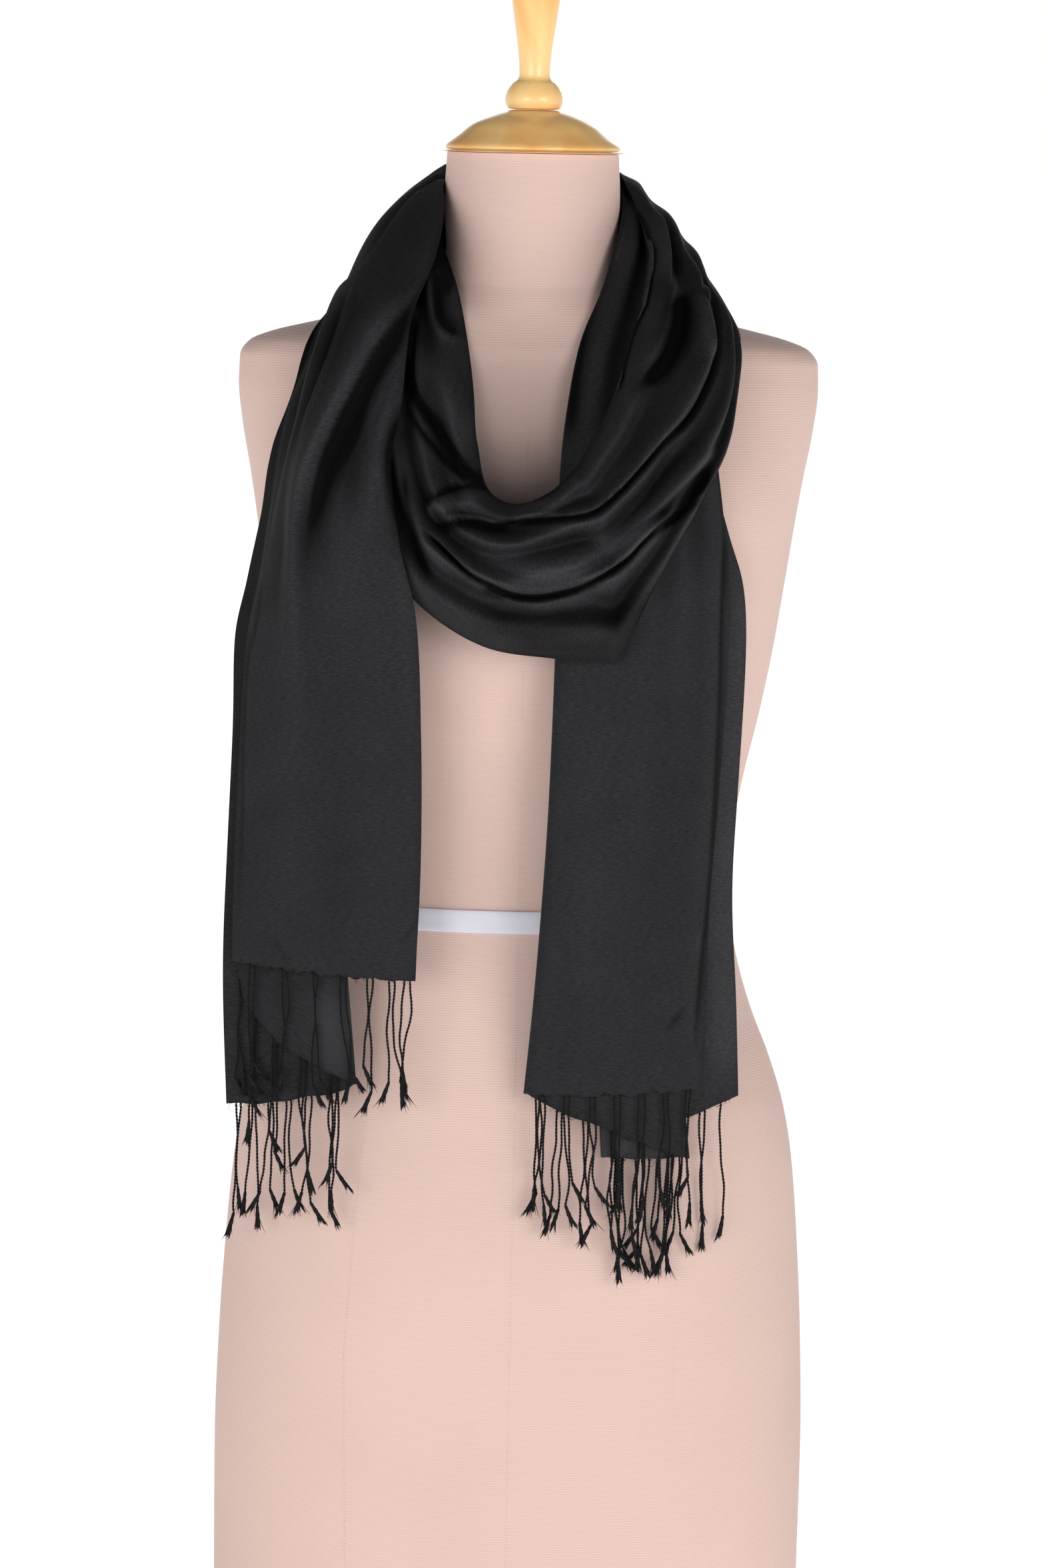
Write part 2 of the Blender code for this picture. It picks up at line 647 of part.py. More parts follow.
def make_fall(side, folds, layers, hem_start, start_share, beneath, looks, collection):
    """A hanging end: its front layer with its folds, the layers folded behind it and its fringe."""
    name = "fall_" + side
    columns = len(layer_columns(layers, 1.0, start_share)) - 1
    hems = [hem_start] + [layer.hem_z for layer in layers]
    split = place_at_height(name, FALL_SPLIT)
    profile = laid_profile(name, len(layers) - 1, beneath)
    grid = {}
    for row in range(FALL_ROWS + 1):
        down = FALL_TRIM + (1 - FALL_TRIM) * row / FALL_ROWS
        across = layer_columns(layers, down, start_share)
        for column, (share, behind, number, part) in enumerate(across):
            hem = hems[number] + (hems[number + 1] - hems[number]) * part
            lower = place_at_height(name, hem)
            place = down if down < split else split + (down - split) * (lower - split) / (1 - split)
            relief = fold_relief(folds, place, share) if behind == 0 else 0.0
            depth = behind * layer_step(place)
            grid[(row, column)] = profile_point(profile, place, share, depth, relief)
    made = cloth_object(name, FALL_ROWS, columns, grid, looks[0], collection)
    slope = grid[(FALL_ROWS, 0)] - grid[(FALL_ROWS - 1, 0)]
    lean = slope.y / slope.z
    for number, layer in enumerate(layers):
        own = [column for column, spot in enumerate(across) if spot[1] == number]
        hem_line = [grid[(FALL_ROWS, column)] for column in own]
        fringe = "fringe_%s_%d" % (side, number + 1)
        make_fringe(fringe, hem_line, lean, layer.cords, number, looks[1], collection)
    return made


def along_line(line, distance):
    """A point on a line of points at a distance from its start, and the way the line runs."""
    for start, end in zip(line, line[1:]):
        length = (end - start).length
        if distance <= length or end is line[-1]:
            return start.lerp(end, distance / length), (end - start).normalized()
        distance -= length


def cord_places(length, cords):
    """Where the cords stand along a strip: in pairs, the pairs evenly spaced."""
    pairs = (cords + 1) // 2
    step = length / pairs
    places = []
    for number in range(cords):
        middle = step * (number // 2 + 0.5)
        places.append(middle + (PAIR_HALF if number % 2 else -PAIR_HALF))
    return places, step


def make_fringe(name, hem_line, lean, cords, layer, look, collection):
    """A narrow strip below a hem, with every cord drawn down out of the strip's own underside.
    lean is how far the cloth moves along Y for each step up, which the cords follow."""
    length = sum((end - start).length for start, end in zip(hem_line, hem_line[1:]))
    usable = length - 2 * STRIP_INSET
    places, step = cord_places(usable, cords)
    marks = [0.0]
    for place in places:
        marks += [place - CORD / 2, place + CORD / 2]
    marks.append(usable)
    corners = ((-0.5, 0), (0.5, 0), (0.5, 1), (-0.5, 1))
    mesh = bpy.data.meshes.new(name)
    build = bmesh.new()
    bmesh.ops.create_grid(build, x_segments=len(marks) - 1, y_segments=4, size=0.5)
    for vertex in build.verts:
        mark = marks[round((vertex.co.x + 0.5) * (len(marks) - 1))]
        aside, down = corners[round((vertex.co.y + 0.5) * 4) % 4]
        point, along = along_line(hem_line, STRIP_INSET + mark)
        across = Vector((along.y, -along.x, 0)).normalized()
        fall = -STRIP_GAP - down * STRIP_HEIGHT
        drop = Vector((0, fall * lean, fall))
        vertex.co = (point + across * aside * CORD + drop) * MM
    bmesh.ops.remove_doubles(build, verts=build.verts, dist=0.00001)
    bmesh.ops.holes_fill(build, edges=[edge for edge in build.edges if edge.is_boundary])
    bmesh.ops.recalc_face_normals(build, faces=build.faces)
    build.faces.ensure_lookup_table()
    for number, place in enumerate(places):
        point, along = along_line(hem_line, STRIP_INSET + place)
        foot = (point + Vector((0, 0, -STRIP_GAP - STRIP_HEIGHT))) * MM
        tip = min((face for face in build.faces if face.normal.z < -0.5),
                  key=lambda face: (face.calc_center_median() - foot).length)
        draw_cord(build, tip, along, lean, number, layer, step)
    build.to_mesh(mesh)
    build.free()
    add_object(name, mesh, look, collection)


def draw_cord(build, tip, along, lean, number, layer, step):
    """Draws one cord down from a face: it wanders a little along the hem and ends in a knot."""
    sway = SWAY * step * math.sin(2.4 * (number // 2) + 1.7 * layer)
    meet = (PAIR_HALF - PAIR_TIP_HALF) * (-1 if number % 2 else 1)
    total = CORD_LENGTH * (1 + LENGTH_SPREAD * math.sin(5.1 * number + 2.3 * layer))
    reached, drop = 0.0, 0.0
    flat = Vector((along.x, along.y, 0)).normalized()
    for number_down, (share, width) in enumerate(CORD_RINGS):
        made = bmesh.ops.extrude_discrete_faces(build, faces=[tip])
        tip = made["faces"][0]
        across = sway * math.sin(math.pi * share * 0.8) + meet * share
        fall = drop - share * total
        shift = flat * (across - reached) + Vector((0, fall * lean, fall))
        reached, drop = across, share * total
        middle = tip.calc_center_median()
        before = CORD_RINGS[number_down - 1][1] if number_down else 1.0
        for vertex in tip.verts:
            grown = middle + (vertex.co - middle) * (width / before)
            vertex.co = Vector((grown.x, grown.y, vertex.co.z)) + shift * MM
            vertex.co.z += (middle.z - vertex.co.z + shift.z * MM) if share > 0.1 else 0.0


def make_all():
    clear_scene()
    collection = bpy.data.collections.new("fringed_shawl_on_form")
    bpy.context.scene.collection.children.link(collection)
    make_form(collection)
    make_tape(collection)
    make_cap(collection)
    bpy.context.view_layer.update()
    form = tree_of(bpy.data.objects["form_body"])
    cloth = material("shawl_twill", CLOTH_COLOUR, 0.8)
    looks = (cloth, material("fringe_cord", FRINGE_COLOUR, 0.85))
    right_stack = FALL_GAP + LAYER_STEP_TOP * (len(RIGHT_LAYERS) - 1)
    left_stack = FALL_GAP + LAYER_STEP_TOP * (len(LEFT_LAYERS) - 1)
    fall_right = make_fall("right", (FALL_RIGHT_LINES, FALL_RIGHT_SWELLS), RIGHT_LAYERS,
                           RIGHT_HEM_START, 1.0, [form], looks, collection)
    back_inner = make_stretch("back_inner", (BACK_INNER_LINES, BACK_INNER_SWELLS), (16, 14),
                              (right_stack, REST_GAP, REST_GAP), [form], cloth, collection)
    loop = make_stretch("loop", (LOOP_LINES, LOOP_SWELLS), (30, 22),
                        (REST_GAP, REST_GAP, REST_GAP),
                        [form, tree_of(fall_right), tree_of(back_inner, 1)], cloth, collection)
    back_outer = make_stretch("back_outer", (BACK_OUTER_LINES, BACK_OUTER_SWELLS), (18, 18),
                              (REST_GAP, REST_GAP, left_stack),
                              [form, tree_of(fall_right), tree_of(back_inner), tree_of(loop, -1)],
                              cloth, collection)
    make_fall("left", (FALL_LEFT_LINES, FALL_LEFT_SWELLS), LEFT_LAYERS, LEFT_HEM_START, 0.0,
              [form, tree_of(back_inner), tree_of(loop)], looks, collection)


make_all()
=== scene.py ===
import math
import random
from collections import namedtuple

import bmesh
import bpy
import numpy as np
from mathutils import Matrix, Vector
from mathutils.bvhtree import BVHTree


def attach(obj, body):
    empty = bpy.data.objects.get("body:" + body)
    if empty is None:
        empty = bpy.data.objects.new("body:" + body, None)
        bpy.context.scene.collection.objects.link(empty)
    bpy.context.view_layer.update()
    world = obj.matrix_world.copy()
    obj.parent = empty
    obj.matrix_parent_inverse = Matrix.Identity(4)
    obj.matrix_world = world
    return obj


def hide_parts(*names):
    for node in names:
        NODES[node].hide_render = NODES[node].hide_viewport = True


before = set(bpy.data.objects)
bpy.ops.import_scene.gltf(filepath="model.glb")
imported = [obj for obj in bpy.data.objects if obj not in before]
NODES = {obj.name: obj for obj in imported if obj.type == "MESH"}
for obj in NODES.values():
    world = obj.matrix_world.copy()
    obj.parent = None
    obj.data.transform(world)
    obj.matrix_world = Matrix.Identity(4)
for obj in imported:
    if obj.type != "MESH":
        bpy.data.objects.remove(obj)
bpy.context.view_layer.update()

MM = 0.001

# The picture: its size in pixels, and the camera that it was seen from
PICTURE_WIDE, PICTURE_HIGH = 1568, 2353
FOCAL_PIXELS = 8837
CAMERA_PLACE = Vector((0.0013, -3.8, 1.0))
PITCH, ROLL = math.radians(6.63), math.radians(1.15)
SENSOR = 36.0

# Cloth, in millimetres: how thick it is, how far it lies off what is beneath it and off itself, over
# what share of a hanging end these gaps grow from their values at its top, and how far each stretch
# stands proud of its plain surface
CLOTH_THICK = 0.5
REST_GAP = 1.6
FALL_GAP, FALL_GAP_TOP = 2.8, 1.2
LAYER_STEP, LAYER_STEP_TOP = 2.6, 1.0
TURN_BULGE = 1.1
GAP_EASE = 0.5
RAISED = {"loop": 3.0, "fall_left": 1.5, "fall_right": 1.5}

# How the cloth is laid: rays find what is beneath it, and each push spreads to its neighbours
RAY_REACH, RAY_DEPTH = 0.5, 0.06
STEEPEST = 0.5
SPREAD_STEPS, SPREAD_SHARE, CLEAR_EASE = 14, 0.96, 0.35
LAY_BLUR, LOOP_LAY_BLUR = 6, 2
FOLDS_PRESSED = 0.8

# The way off the body: level from the neck, and fanned out from a core lower down
NECK_START, NECK_BLEND, NECK_REACH = 850, 50, 115
CORE_WIDE, CORE_TOP = 0.72, 800

# The grids that the cloth is drawn on; the turns round the neck are laid on a coarse grid first
FLOW_STEP = 0.01
BEYOND_BEND = 0.4
PROFILE_ROWS, PROFILE_COLUMNS, PROFILE_REACH = 44, 26, 1.3
DENSE_ROWS, DENSE_COLUMNS = 320, 160
FALL_ROWS = 170
SEAM_ROWS = 18
UV_SCALE = 0.01
Turn = namedtuple("Turn", "rows columns coarse_rows coarse_columns")
TURNS = {
    "back_inner": Turn(40, 75, 16, 14),
    "loop": Turn(280, 150, 30, 22),
    "back_outer": Turn(90, 75, 18, 18),
}

# The hanging ends: how wide they are, the angles at which the turn between two layers is drawn, how
# uneven the hems are, and the height from which the rows are drawn towards them
FALL_WIDE = 110
TURN_ANGLES = (30, 60, 90, 120, 150)
HEM_WAVE, HEM_LONG, HEM_SHORT, HEM_SHARE = 0.9, 0.31, 0.83, 0.6
FALL_SPLIT = 640.0
HEM_SEARCH, SEARCH_STEPS = (0.4, 1.0), 24

# The front layer is less deep than this, and at its start it settles by the layers missing behind it
FRONT_DEPTH = 0.01
SETTLE_SHARE, SETTLE_PLACE = 0.6, 0.3

# How much of its main folds a stretch loses, from the place along it where it has lost nothing yet
# to the place where it has lost the most
Fade = namedtuple("Fade", "lost start end")
FADES = {
    "loop": [Fade(0.7, 0.85, 1.0)],
    "back_outer": [Fade(0.7, 0.3, 0.0), Fade(0.9, 0.4, 0.8)],
    "fall_left": [Fade(1.0, 0.55, 0.25)],
}

# Over what share of a stretch its folds, creases and wobble fade in and out, and the wobble itself
END_EASE, EDGE_EASE, CREASE_EASE, WOBBLE_EASE = 0.12, 0.05, 0.1, 0.2
Wobble = namedtuple("Wobble", "height scale seed")
WOBBLES = [Wobble(0.5, 21.0, 3), Wobble(0.2, 9.0, 5)]
NOISE_WAVES, NOISE_HIGH, FULL_TURN = 7, 4.5, 6.28

# A crease's path is drawn through this many points, and looked at this far round it, in pixels
PATH_SAMPLES, PATH_MARGIN = 60, 4

# Painted shade on the cloth: where it faces up, low among its folds, and on the layers behind the front one;
# below nought it is painted light
UPWARD_SHADE, UPWARD_MOST = 0.5, 0.8
NEAR_SHADE, NEAR_BLUR = 0.09, 24
WIDE_SHADE, WIDE_BLUR = 0.06, 110
Behind = namedtuple("Behind", "high low")
BEHIND_SHADES = {"fall_left": Behind(0.6, 0.3), "fall_right": Behind(0.3, -0.8)}
BEHIND_CHANGE, BEHIND_END = (0.2, 0.6), (0.85, 0.95)

# The flat length of each stretch in metres, and the area of it that shows
Cut = namedtuple("Cut", "long area")

# Fringe, in millimetres: its cords, which lie in pairs, how they sway, and their tassels
CORD_LENGTH, LENGTH_SPREAD = 80.0, 0.13
CORD_HALF, PLY, PLY_SIDES = 0.42, 0.43, 5
CORD_PITCH = 4.4
CORD_RING = 0.62
PAIR_HALF, PAIR_LEAN = 1.76, 0.3
CORD_ROOT = np.array([0, 0, -0.2])
FEWEST_RINGS = 8
STRIP_INSET = 3.0
LONG_WAVE, LONG_SWAY = (11, 17), (1.0, 3.2)
SHORT_WAVE, SHORT_SWAY = (4.5, 7), (0.4, 1.1)
OUT_WAVE, OUT_SWAY = 21, 0.5
TASSEL = 15.0
BOUND_PART = 0.55
BOUND_RADII = np.array([0.8, 1.15, 1.0, 1.3, 1.5, 1.1])
TONGUES = (2, 3, 3)
TONGUE_ASIDE, TONGUE_REACH = np.array([0.17, 0.1, 0.03]), (0.9, 1.2)
TONGUE_RADII = np.array([1.0, 1.15, 1.1, 0.95, 0.65, 0.15])
FIBRE_RADII = np.array([0.2, 0.28, 0.26, 0.2, 0.08])
FIBRES, FIBRE_REACH = 9, (0.9, 1.25)

# Loose threads of a hem, in millimetres: short fuzz all along it, and a few long ones
FUZZ_STEP, FUZZ_LONG = 1.5, (1.2, 4.0)
LONG_THREADS, LONG_THREAD = 3, (9, 20)
THREAD_STEP, THREAD_RADII = 0.8, (0.16, 0.08)
FUZZ_ROOT, THREAD_ROOT = np.array([0, -0.3, 0.2]), np.array([0, -0.4, 0])

# The dress form, in millimetres
NECK_TOP = 966.0
TAPE_LOW, TAPE_HIGH = 472.0, 487.0
RING_COLUMNS = 144
BASE_ROWS = [0.0, 1.5, 4.0]
RowSpan = namedtuple("RowSpan", "low high step")
FORM_ROWS = [RowSpan(10, 812, 6.0), RowSpan(812, 890, 1.6), RowSpan(890, NECK_TOP, 4.0)]

# The tape's section: the share of its height, and how far it stands off the form
TAPE_PROFILE = ((0, 0.35), (0.02, 0.8), (0.08, 1.15), (0.3, 1.2),
                (0.7, 1.2), (0.92, 1.15), (0.98, 0.8), (1, 0.35))
TAPE_WAVE = 0.15

# The half profiles of the turned wood, from the top down: radius and height
TURNED_SIDES, TURNED_FINER = 96, 5
CAP_PROFILE = [(0, 993.5), (15, 993.2), (26, 990.5), (38, 985), (47, 978), (53.5, 973),
               (56, 970.5), (56.3, 968.5), (55, NECK_TOP + 0.3), (0, NECK_TOP + 0.3)]
HANDLE_PROFILE = [(0, 1102), (8, 1101), (14, 1097), (17.5, 1090), (17.8, 1082), (16.5, 1070),
                  (14, 1052), (11.3, 1034), (10, 1020), (10.4, 1013.5), (14.2, 1010), (17.4, 1005),
                  (18.6, 1000), (17.6, 996), (14.5, 993.8), (0, 993.8)]

# The lights, in metres and watts, and the point that they are aimed at
Light = namedtuple("Light", "name place size power")
LIGHTS = [
    Light("left_front", (-4.6, -7.8, 0.9), 5.0, 260),
    Light("right_front", (5.0, -7.5, 1.3), 5.0, 330),
    Light("behind", (0.5, 8.5, 2.6), 4.0, 90),
]
LIGHT_AIM = Vector((0, 0, 0.7))

# Seams of the form: the side seam's distance from the middle at each height, and the stitches
Seam = namedtuple("Seam", "z x")
SIDE_SEAM = [
    Seam(4, 102),
    Seam(200, 106),
    Seam(330, 97),
    Seam(470, 76),
    Seam(600, 86),
    Seam(715, 92),
    Seam(800, 88),
    Seam(848, 84),
]
SEAM_LOW, SEAM_TOP = 5.0, 848.0
COLLAR_SEAM, COLLAR_DIP = 870.0, 6.0
COLLAR_RADIUS = 58
STITCH_PITCH, STITCH_LONG, STITCH_HALF, STITCH_OUT = 2.1, 1.2, 0.15, 0.1
STITCH_SLANT, STITCH_CLEAR = 0.9, 2
# The painted shade of the form's front fades out between these distances from its middle
SHADE_SIDES = (60, 100)

# Painted shade down the form's front, by height: painted light between the hanging ends, and painted
# shade inside the neckline, where the cowl keeps the light off
NeckShade = namedtuple("NeckShade", "z shade")
NECK_SHADES = [
    NeckShade(330, 0),
    NeckShade(430, -0.14),
    NeckShade(600, -0.14),
    NeckShade(650, 0),
    NeckShade(700, 0.7),
    NeckShade(757, 0.85),
    NeckShade(769, 0.72),
    NeckShade(794, 0.42),
    NeckShade(819, 0.28),
    NeckShade(844, 0.14),
    NeckShade(866, 0),
]

Level = namedtuple("Level", "z half_width front back roundness")
FORM_LEVELS = [
    Level(0, 187, 101, 110, 2.25),
    Level(4, 191, 104, 113, 2.25),
    Level(60, 192, 106, 115, 2.25),
    Level(130, 192.5, 108, 119, 2.25),
    Level(200, 190.5, 112, 124, 2.25),
    Level(260, 187, 114, 126, 2.2),
    Level(320, 181.5, 112, 122, 2.2),
    Level(350, 176, 109, 118, 2.2),
    Level(385, 165, 104, 110, 2.15),
    Level(412, 154, 99, 102, 2.1),
    Level(440, 145, 93, 92, 2.1),
    Level(470, 138.5, 88, 82, 2.1),
    Level(505, 135, 86, 76, 2.1),
    Level(560, 143, 90, 78, 2.15),
    Level(610, 154, 98, 84, 2.2),
    Level(650, 161.5, 109, 90, 2.25),
    Level(690, 167.5, 119, 96, 2.3),
    Level(725, 172.5, 120, 98, 2.35),
    Level(760, 178, 111, 97, 2.4),
    Level(790, 183.5, 98, 93, 2.4),
    Level(817, 186.5, 87, 87, 2.4),
    Level(834, 186, 80, 81, 2.35),
    Level(843, 180, 77, 77, 2.3),
    Level(849, 166, 74, 74, 2.25),
    Level(855, 142, 71, 71, 2.15),
    Level(861, 116, 68, 68, 2.1),
    Level(867, 90, 65, 65, 2.05),
    Level(874, 69, 62, 62, 2.0),
    Level(884, 58, 58, 58, 2.0),
    Level(905, 54.8, 55, 55, 2.0),
    Level(935, 56.5, 56.5, 56.5, 2.0),
    Level(NECK_TOP, 55, 55, 55, 2.0),
]

# Sections across the cloth, along it from the first hem to the last
Section = namedtuple("Section", "in_x in_y in_z out_x out_y out_z crown")
FALL_RIGHT = [
    Section(58, 12, 942, 108, 10, 878, 0),
    Section(55.5, -23, 917, 110, -30, 858, 4),
    Section(46, -52, 882, 112, -66, 828, 8),
    Section(33, -80, 848, 117, -92, 792, 10),
    Section(26, -104, 812, 121, -104, 765, 12),
    Section(22, -120, 772, 125, -108, 735, 14),
    Section(21, -130, 715, 129, -112, 700, 16),
    Section(21, -132, 656, 129, -112, 650, 16),
    Section(19, -132, 564, 125, -112, 564, 15),
    Section(16, -131, 500, 121, -112, 500, 13),
    Section(12, -129, 437, 120.5, -111, 437, 12),
    Section(7, -126.5, 377, 119, -108.5, 377, 12),
    Section(3, -124.5, 330, 117, -106.5, 330, 12),
]
FALL_LEFT = [
    Section(-55, 18, 957, -119, 12, 872, 13),
    Section(-53, -33, 931, -125, -30, 857, 13),
    Section(-61, -72, 898, -137, -62, 834, 14),
    Section(-74, -104, 862, -150, -84, 806, 15),
    Section(-78, -126, 812, -156, -92, 778, 16),
    Section(-83, -138, 772, -161, -94, 742, 18),
    Section(-76, -142, 728, -167, -94, 700, 18),
    Section(-66, -142, 682, -174, -94, 660, 16),
    Section(-62.5, -138, 604, -177, -94, 604, 14),
    Section(-61.5, -134, 525, -179.5, -94, 525, 12),
    Section(-63.5, -129, 447, -180, -91, 447, 10),
    Section(-65, -125, 355, -176, -87, 355, 10),
]
BACK_INNER = [
    Section(58, 12, 942, 108, 10, 878, 0),
    Section(55, 42, 938, 102, 56, 860, 6),
    Section(34, 62, 938, 62, 82, 838, 8),
    Section(0, 70, 940, 0, 90, 824, 10),
    Section(-34, 62, 938, -62, 82, 838, 8),
    Section(-56, 42, 934, -97, 58, 860, 6),
    Section(-63, 12, 930, -102, 10, 880, 0),
]
LOOP = [
    Section(-63, 12, 930, -102, 10, 880, 0),
    Section(-56, -26, 906, -108, -36, 852, 6),
    Section(-45, -56, 876, -112, -76, 808, 12),
    Section(-36, -90, 830, -104, -108, 756, 14),
    Section(-31, -118, 786, -88, -130, 714, 14),
    Section(-24, -136, 759, -62, -142, 683, 18),
    Section(-7, -144, 750, -24, -148, 661, 20),
    Section(13, -148, 757, 17, -150, 655, 22),
    Section(27, -149, 770, 49, -150, 653, 21),
    Section(35, -147, 781, 60, -150, 656, 19),
    Section(49, -138, 808, 80, -146, 698, 16),
    Section(62, -114, 846, 102, -134, 740, 14),
    Section(71, -84, 880, 120, -106, 776, 12),
    Section(73, -48, 906, 126, -70, 816, 10),
    Section(67, -12, 932, 125, -28, 844, 6),
    Section(57, 18, 952, 121, 12, 868, 9),
]
BACK_OUTER = [
    Section(57, 18, 952, 121, 12, 868, 9),
    Section(55, 50, 954, 114, 66, 846, 8),
    Section(36, 72, 956, 72, 94, 814, 12),
    Section(0, 80, 957, 0, 101, 796, 14),
    Section(-36, 72, 956, -70, 94, 812, 12),
    Section(-55, 50, 955, -114, 66, 846, 12),
    Section(-55, 18, 957, -119, 12, 872, 13),
]

# Fold lines along a stretch, as shares of its width at five even places, and the swells between
Line = namedtuple("Line", "start early middle late end")
Swell = namedtuple("Swell", "start early middle late end crest_start crest_end")
FOLDS = {
    "fall_right": ([
        Line(0.26, 0.26, 0.30, 0.30, 0.30),
        Line(0.50, 0.52, 0.58, 0.60, 0.60),
        Line(0.76, 0.76, 0.80, 0.84, 0.86),
    ], [
        Swell(5, 5, 1, 0, 0, 0.5, 0.5),
        Swell(5, 6, 2, 0.5, 0, 0.5, 0.5),
        Swell(5, 6, 2, 0.5, 0, 0.5, 0.5),
        Swell(4, 5, 2, 1, 0, 0.5, 0.5),
    ]),
    "fall_left": ([
        Line(0.12, 0.17, 0.54, 0.56, 0.55),
        Line(0.42, 0.70, 0.77, 0.86, 0.88),
        Line(0.72, 0.84, 0.87, 0.95, 0.95),
    ], [
        Swell(2, 4, 6, 0.5, 0, 0.5, 0.5),
        Swell(4, 13, 9, 0.5, 0, 0.2, 0.4),
        Swell(0, 0, 0, 0, 0, 0.5, 0.5),
        Swell(0, 0, 0, 0, 0, 0.5, 0.5),
    ]),
    "back_inner": ([
        Line(0.26, 0.28, 0.30, 0.30, 0.30),
        Line(0.50, 0.54, 0.56, 0.54, 0.52),
        Line(0.76, 0.78, 0.80, 0.78, 0.76),
    ], [
        Swell(5, 6, 6, 6, 4, 0.5, 0.5),
        Swell(5, 7, 7, 7, 4, 0.5, 0.5),
        Swell(5, 7, 7, 7, 4, 0.5, 0.5),
        Swell(4, 6, 5, 6, 4, 0.5, 0.5),
    ]),
    "loop": ([
        Line(0.30, 0.28, 0.13, 0.26, 0.24),
        Line(0.52, 0.50, 0.33, 0.60, 0.52),
        Line(0.76, 0.74, 0.63, 0.88, 0.78),
    ], [
        Swell(4, 8, 7, 8, 7, 0.5, 0.5),
        Swell(4, 12, 15, 14, 8, 0.5, 0.5),
        Swell(4, 12, 18, 16, 8, 0.5, 0.5),
        Swell(4, 9, 15, 8, 6, 0.5, 0.5),
    ]),
    "back_outer": ([
        Line(0.24, 0.20, 0.17, 0.16, 0.12),
        Line(0.52, 0.46, 0.38, 0.40, 0.42),
        Line(0.78, 0.74, 0.64, 0.70, 0.72),
    ], [
        Swell(7, 9, 8, 6, 2, 0.5, 0.5),
        Swell(8, 12, 13, 10, 4, 0.5, 0.5),
        Swell(8, 13, 16, 11, 4, 0.5, 0.5),
        Swell(6, 8, 8, 6, 3, 0.5, 0.5),
    ]),
}

# The layers of a hanging end, front to back: the share that each runs to, its hem, its cords, how
# bent the hem is and how crowded the cords are at its start
Layer = namedtuple("Layer", "start early middle late end hem_z columns cords hem_bend crowd")
LAYERS = {
    "fall_left": [
        Layer(1.00, 1.00, 1.00, 1.00, 1.00, 452, 120, 14, 1.0, 1.5),
        Layer(0.90, 0.86, 0.72, 0.50, 0.31, 379, 20, 10, 0.4, 1.0),
        Layer(1.02, 1.12, 1.18, 1.08, 1.10, 357, 26, 12, 0.6, 0.8),
    ],
    "fall_right": [
        Layer(0.00, 0.00, 0.00, 0.00, 0.00, 376, 84, 14, 1.0, 1.0),
        Layer(0.10, 0.20, 0.45, 0.75, 0.96, 333, 26, 12, 0.9, 1.2),
        Layer(0.02, 0.05, 0.15, 0.30, 0.46, 336, 18, 6, 0.6, 1.0),
        Layer(0.92, 0.92, 1.12, 1.17, 1.25, 371, 28, 11, 0.9, 1.0),
    ],
}
HEM_START = {"fall_left": 447, "fall_right": 379}
START_SHARE = {"fall_left": 0.0, "fall_right": 1.0}

# How a crease is shaped across: distances from its path in the picture's pixels, on the right-hand
# side of the way that it runs if above nothing, how high the cloth stands there, and how much painted
# shade it is given there for being out of the light, painted light where below nought
Across = namedtuple("Across", "places heights shades")
ACROSS = {
    "overlap": Across(
        (-34, -20, -9, -3, 1, 5, 10, 17, 28, 44),
        (0, 2.5, 6.5, 5.5, -2, -4.5, -1, 3.0, 1.4, 0),
        (0, 0, -0.05, 0.2, 0.9, 1, 0.45, -0.15, -0.1, 0)),
    "small_overlap": Across(
        (-16, -7, -2, 2, 7, 20, 36),
        (0, 2.6, 2.4, -2.0, -2.6, -1.4, 0),
        (0, 0, 0, 0.7, 0.75, 0.4, 0)),
    "step": Across(
        (-90, -50, -20, -6, -1, 3, 10, 26, 44),
        (0, 4, 6, 6.5, 4, -1, -2, -1, 0),
        (0, 0, 0, -0.05, 0.2, 0.8, 0.75, 0.6, 0.2)),
    "ridge": Across(
        (-22, -12, -5, 0, 5, 12, 22),
        (0, 1.4, 3.6, 4.6, 3.6, 1.4, 0),
        (0, -0.1, -0.2, -0.25, -0.2, -0.1, 0)),
    "sharp_ridge": Across(
        (-34, -18, -8, -2, 3, 8, 14),
        (0, 2.5, 6.4, 7.4, 4.0, 0.8, 0),
        (0, -0.15, -0.4, -0.45, -0.1, 0.3, 0.2)),
    "trough": Across(
        (-24, -13, -6, 0, 6, 13, 24),
        (0, -1.6, -4.0, -5.0, -4.0, -1.6, 0),
        (0, 0.25, 0.75, 0.95, 0.75, 0.25, 0)),
    "line": Across(
        (-8, -4, 0, 4, 8),
        (0, -1.4, -2.6, -1.4, 0),
        (0, 0.25, 0.6, 0.25, 0)),
    "ribbon": Across(
        (-12, -8, -4, -2, 3, 5, 9),
        (0, -2.5, -3.0, 1.8, 1.8, -1.2, 0),
        (0, 0.7, 0.9, -0.45, -0.5, 0.6, 0)),
    "swell": Across(
        (-60, -34, -16, 0, 16, 34, 60),
        (0, 0.8, 2.2, 2.8, 2.2, 0.8, 0),
        (0, -0.1, -0.2, -0.25, -0.2, -0.1, 0)),
    "flank": Across(
        (-36, -24, -11, -3, 0, 4, 14, 30, 52),
        (0, -0.8, -1.6, -1.2, 1.5, 4.0, 5.0, 2.6, 0),
        (0, 0.35, 0.85, 1, 0.6, -0.2, -0.45, -0.25, 0)),
    # Painted light along a low swell
    "bright": Across(
        (-30, -18, -8, 0, 8, 18, 30),
        (0, 0.5, 1.1, 1.4, 1.1, 0.5, 0),
        (0, -0.25, -0.6, -0.7, -0.6, -0.25, 0)),
    # Painted shade along a shallow trough
    "dark": Across(
        (-30, -18, -8, 0, 8, 18, 30),
        (0, -0.5, -1.0, -1.2, -1.0, -0.5, 0),
        (0, 0.3, 0.8, 1, 0.8, 0.3, 0)),
}
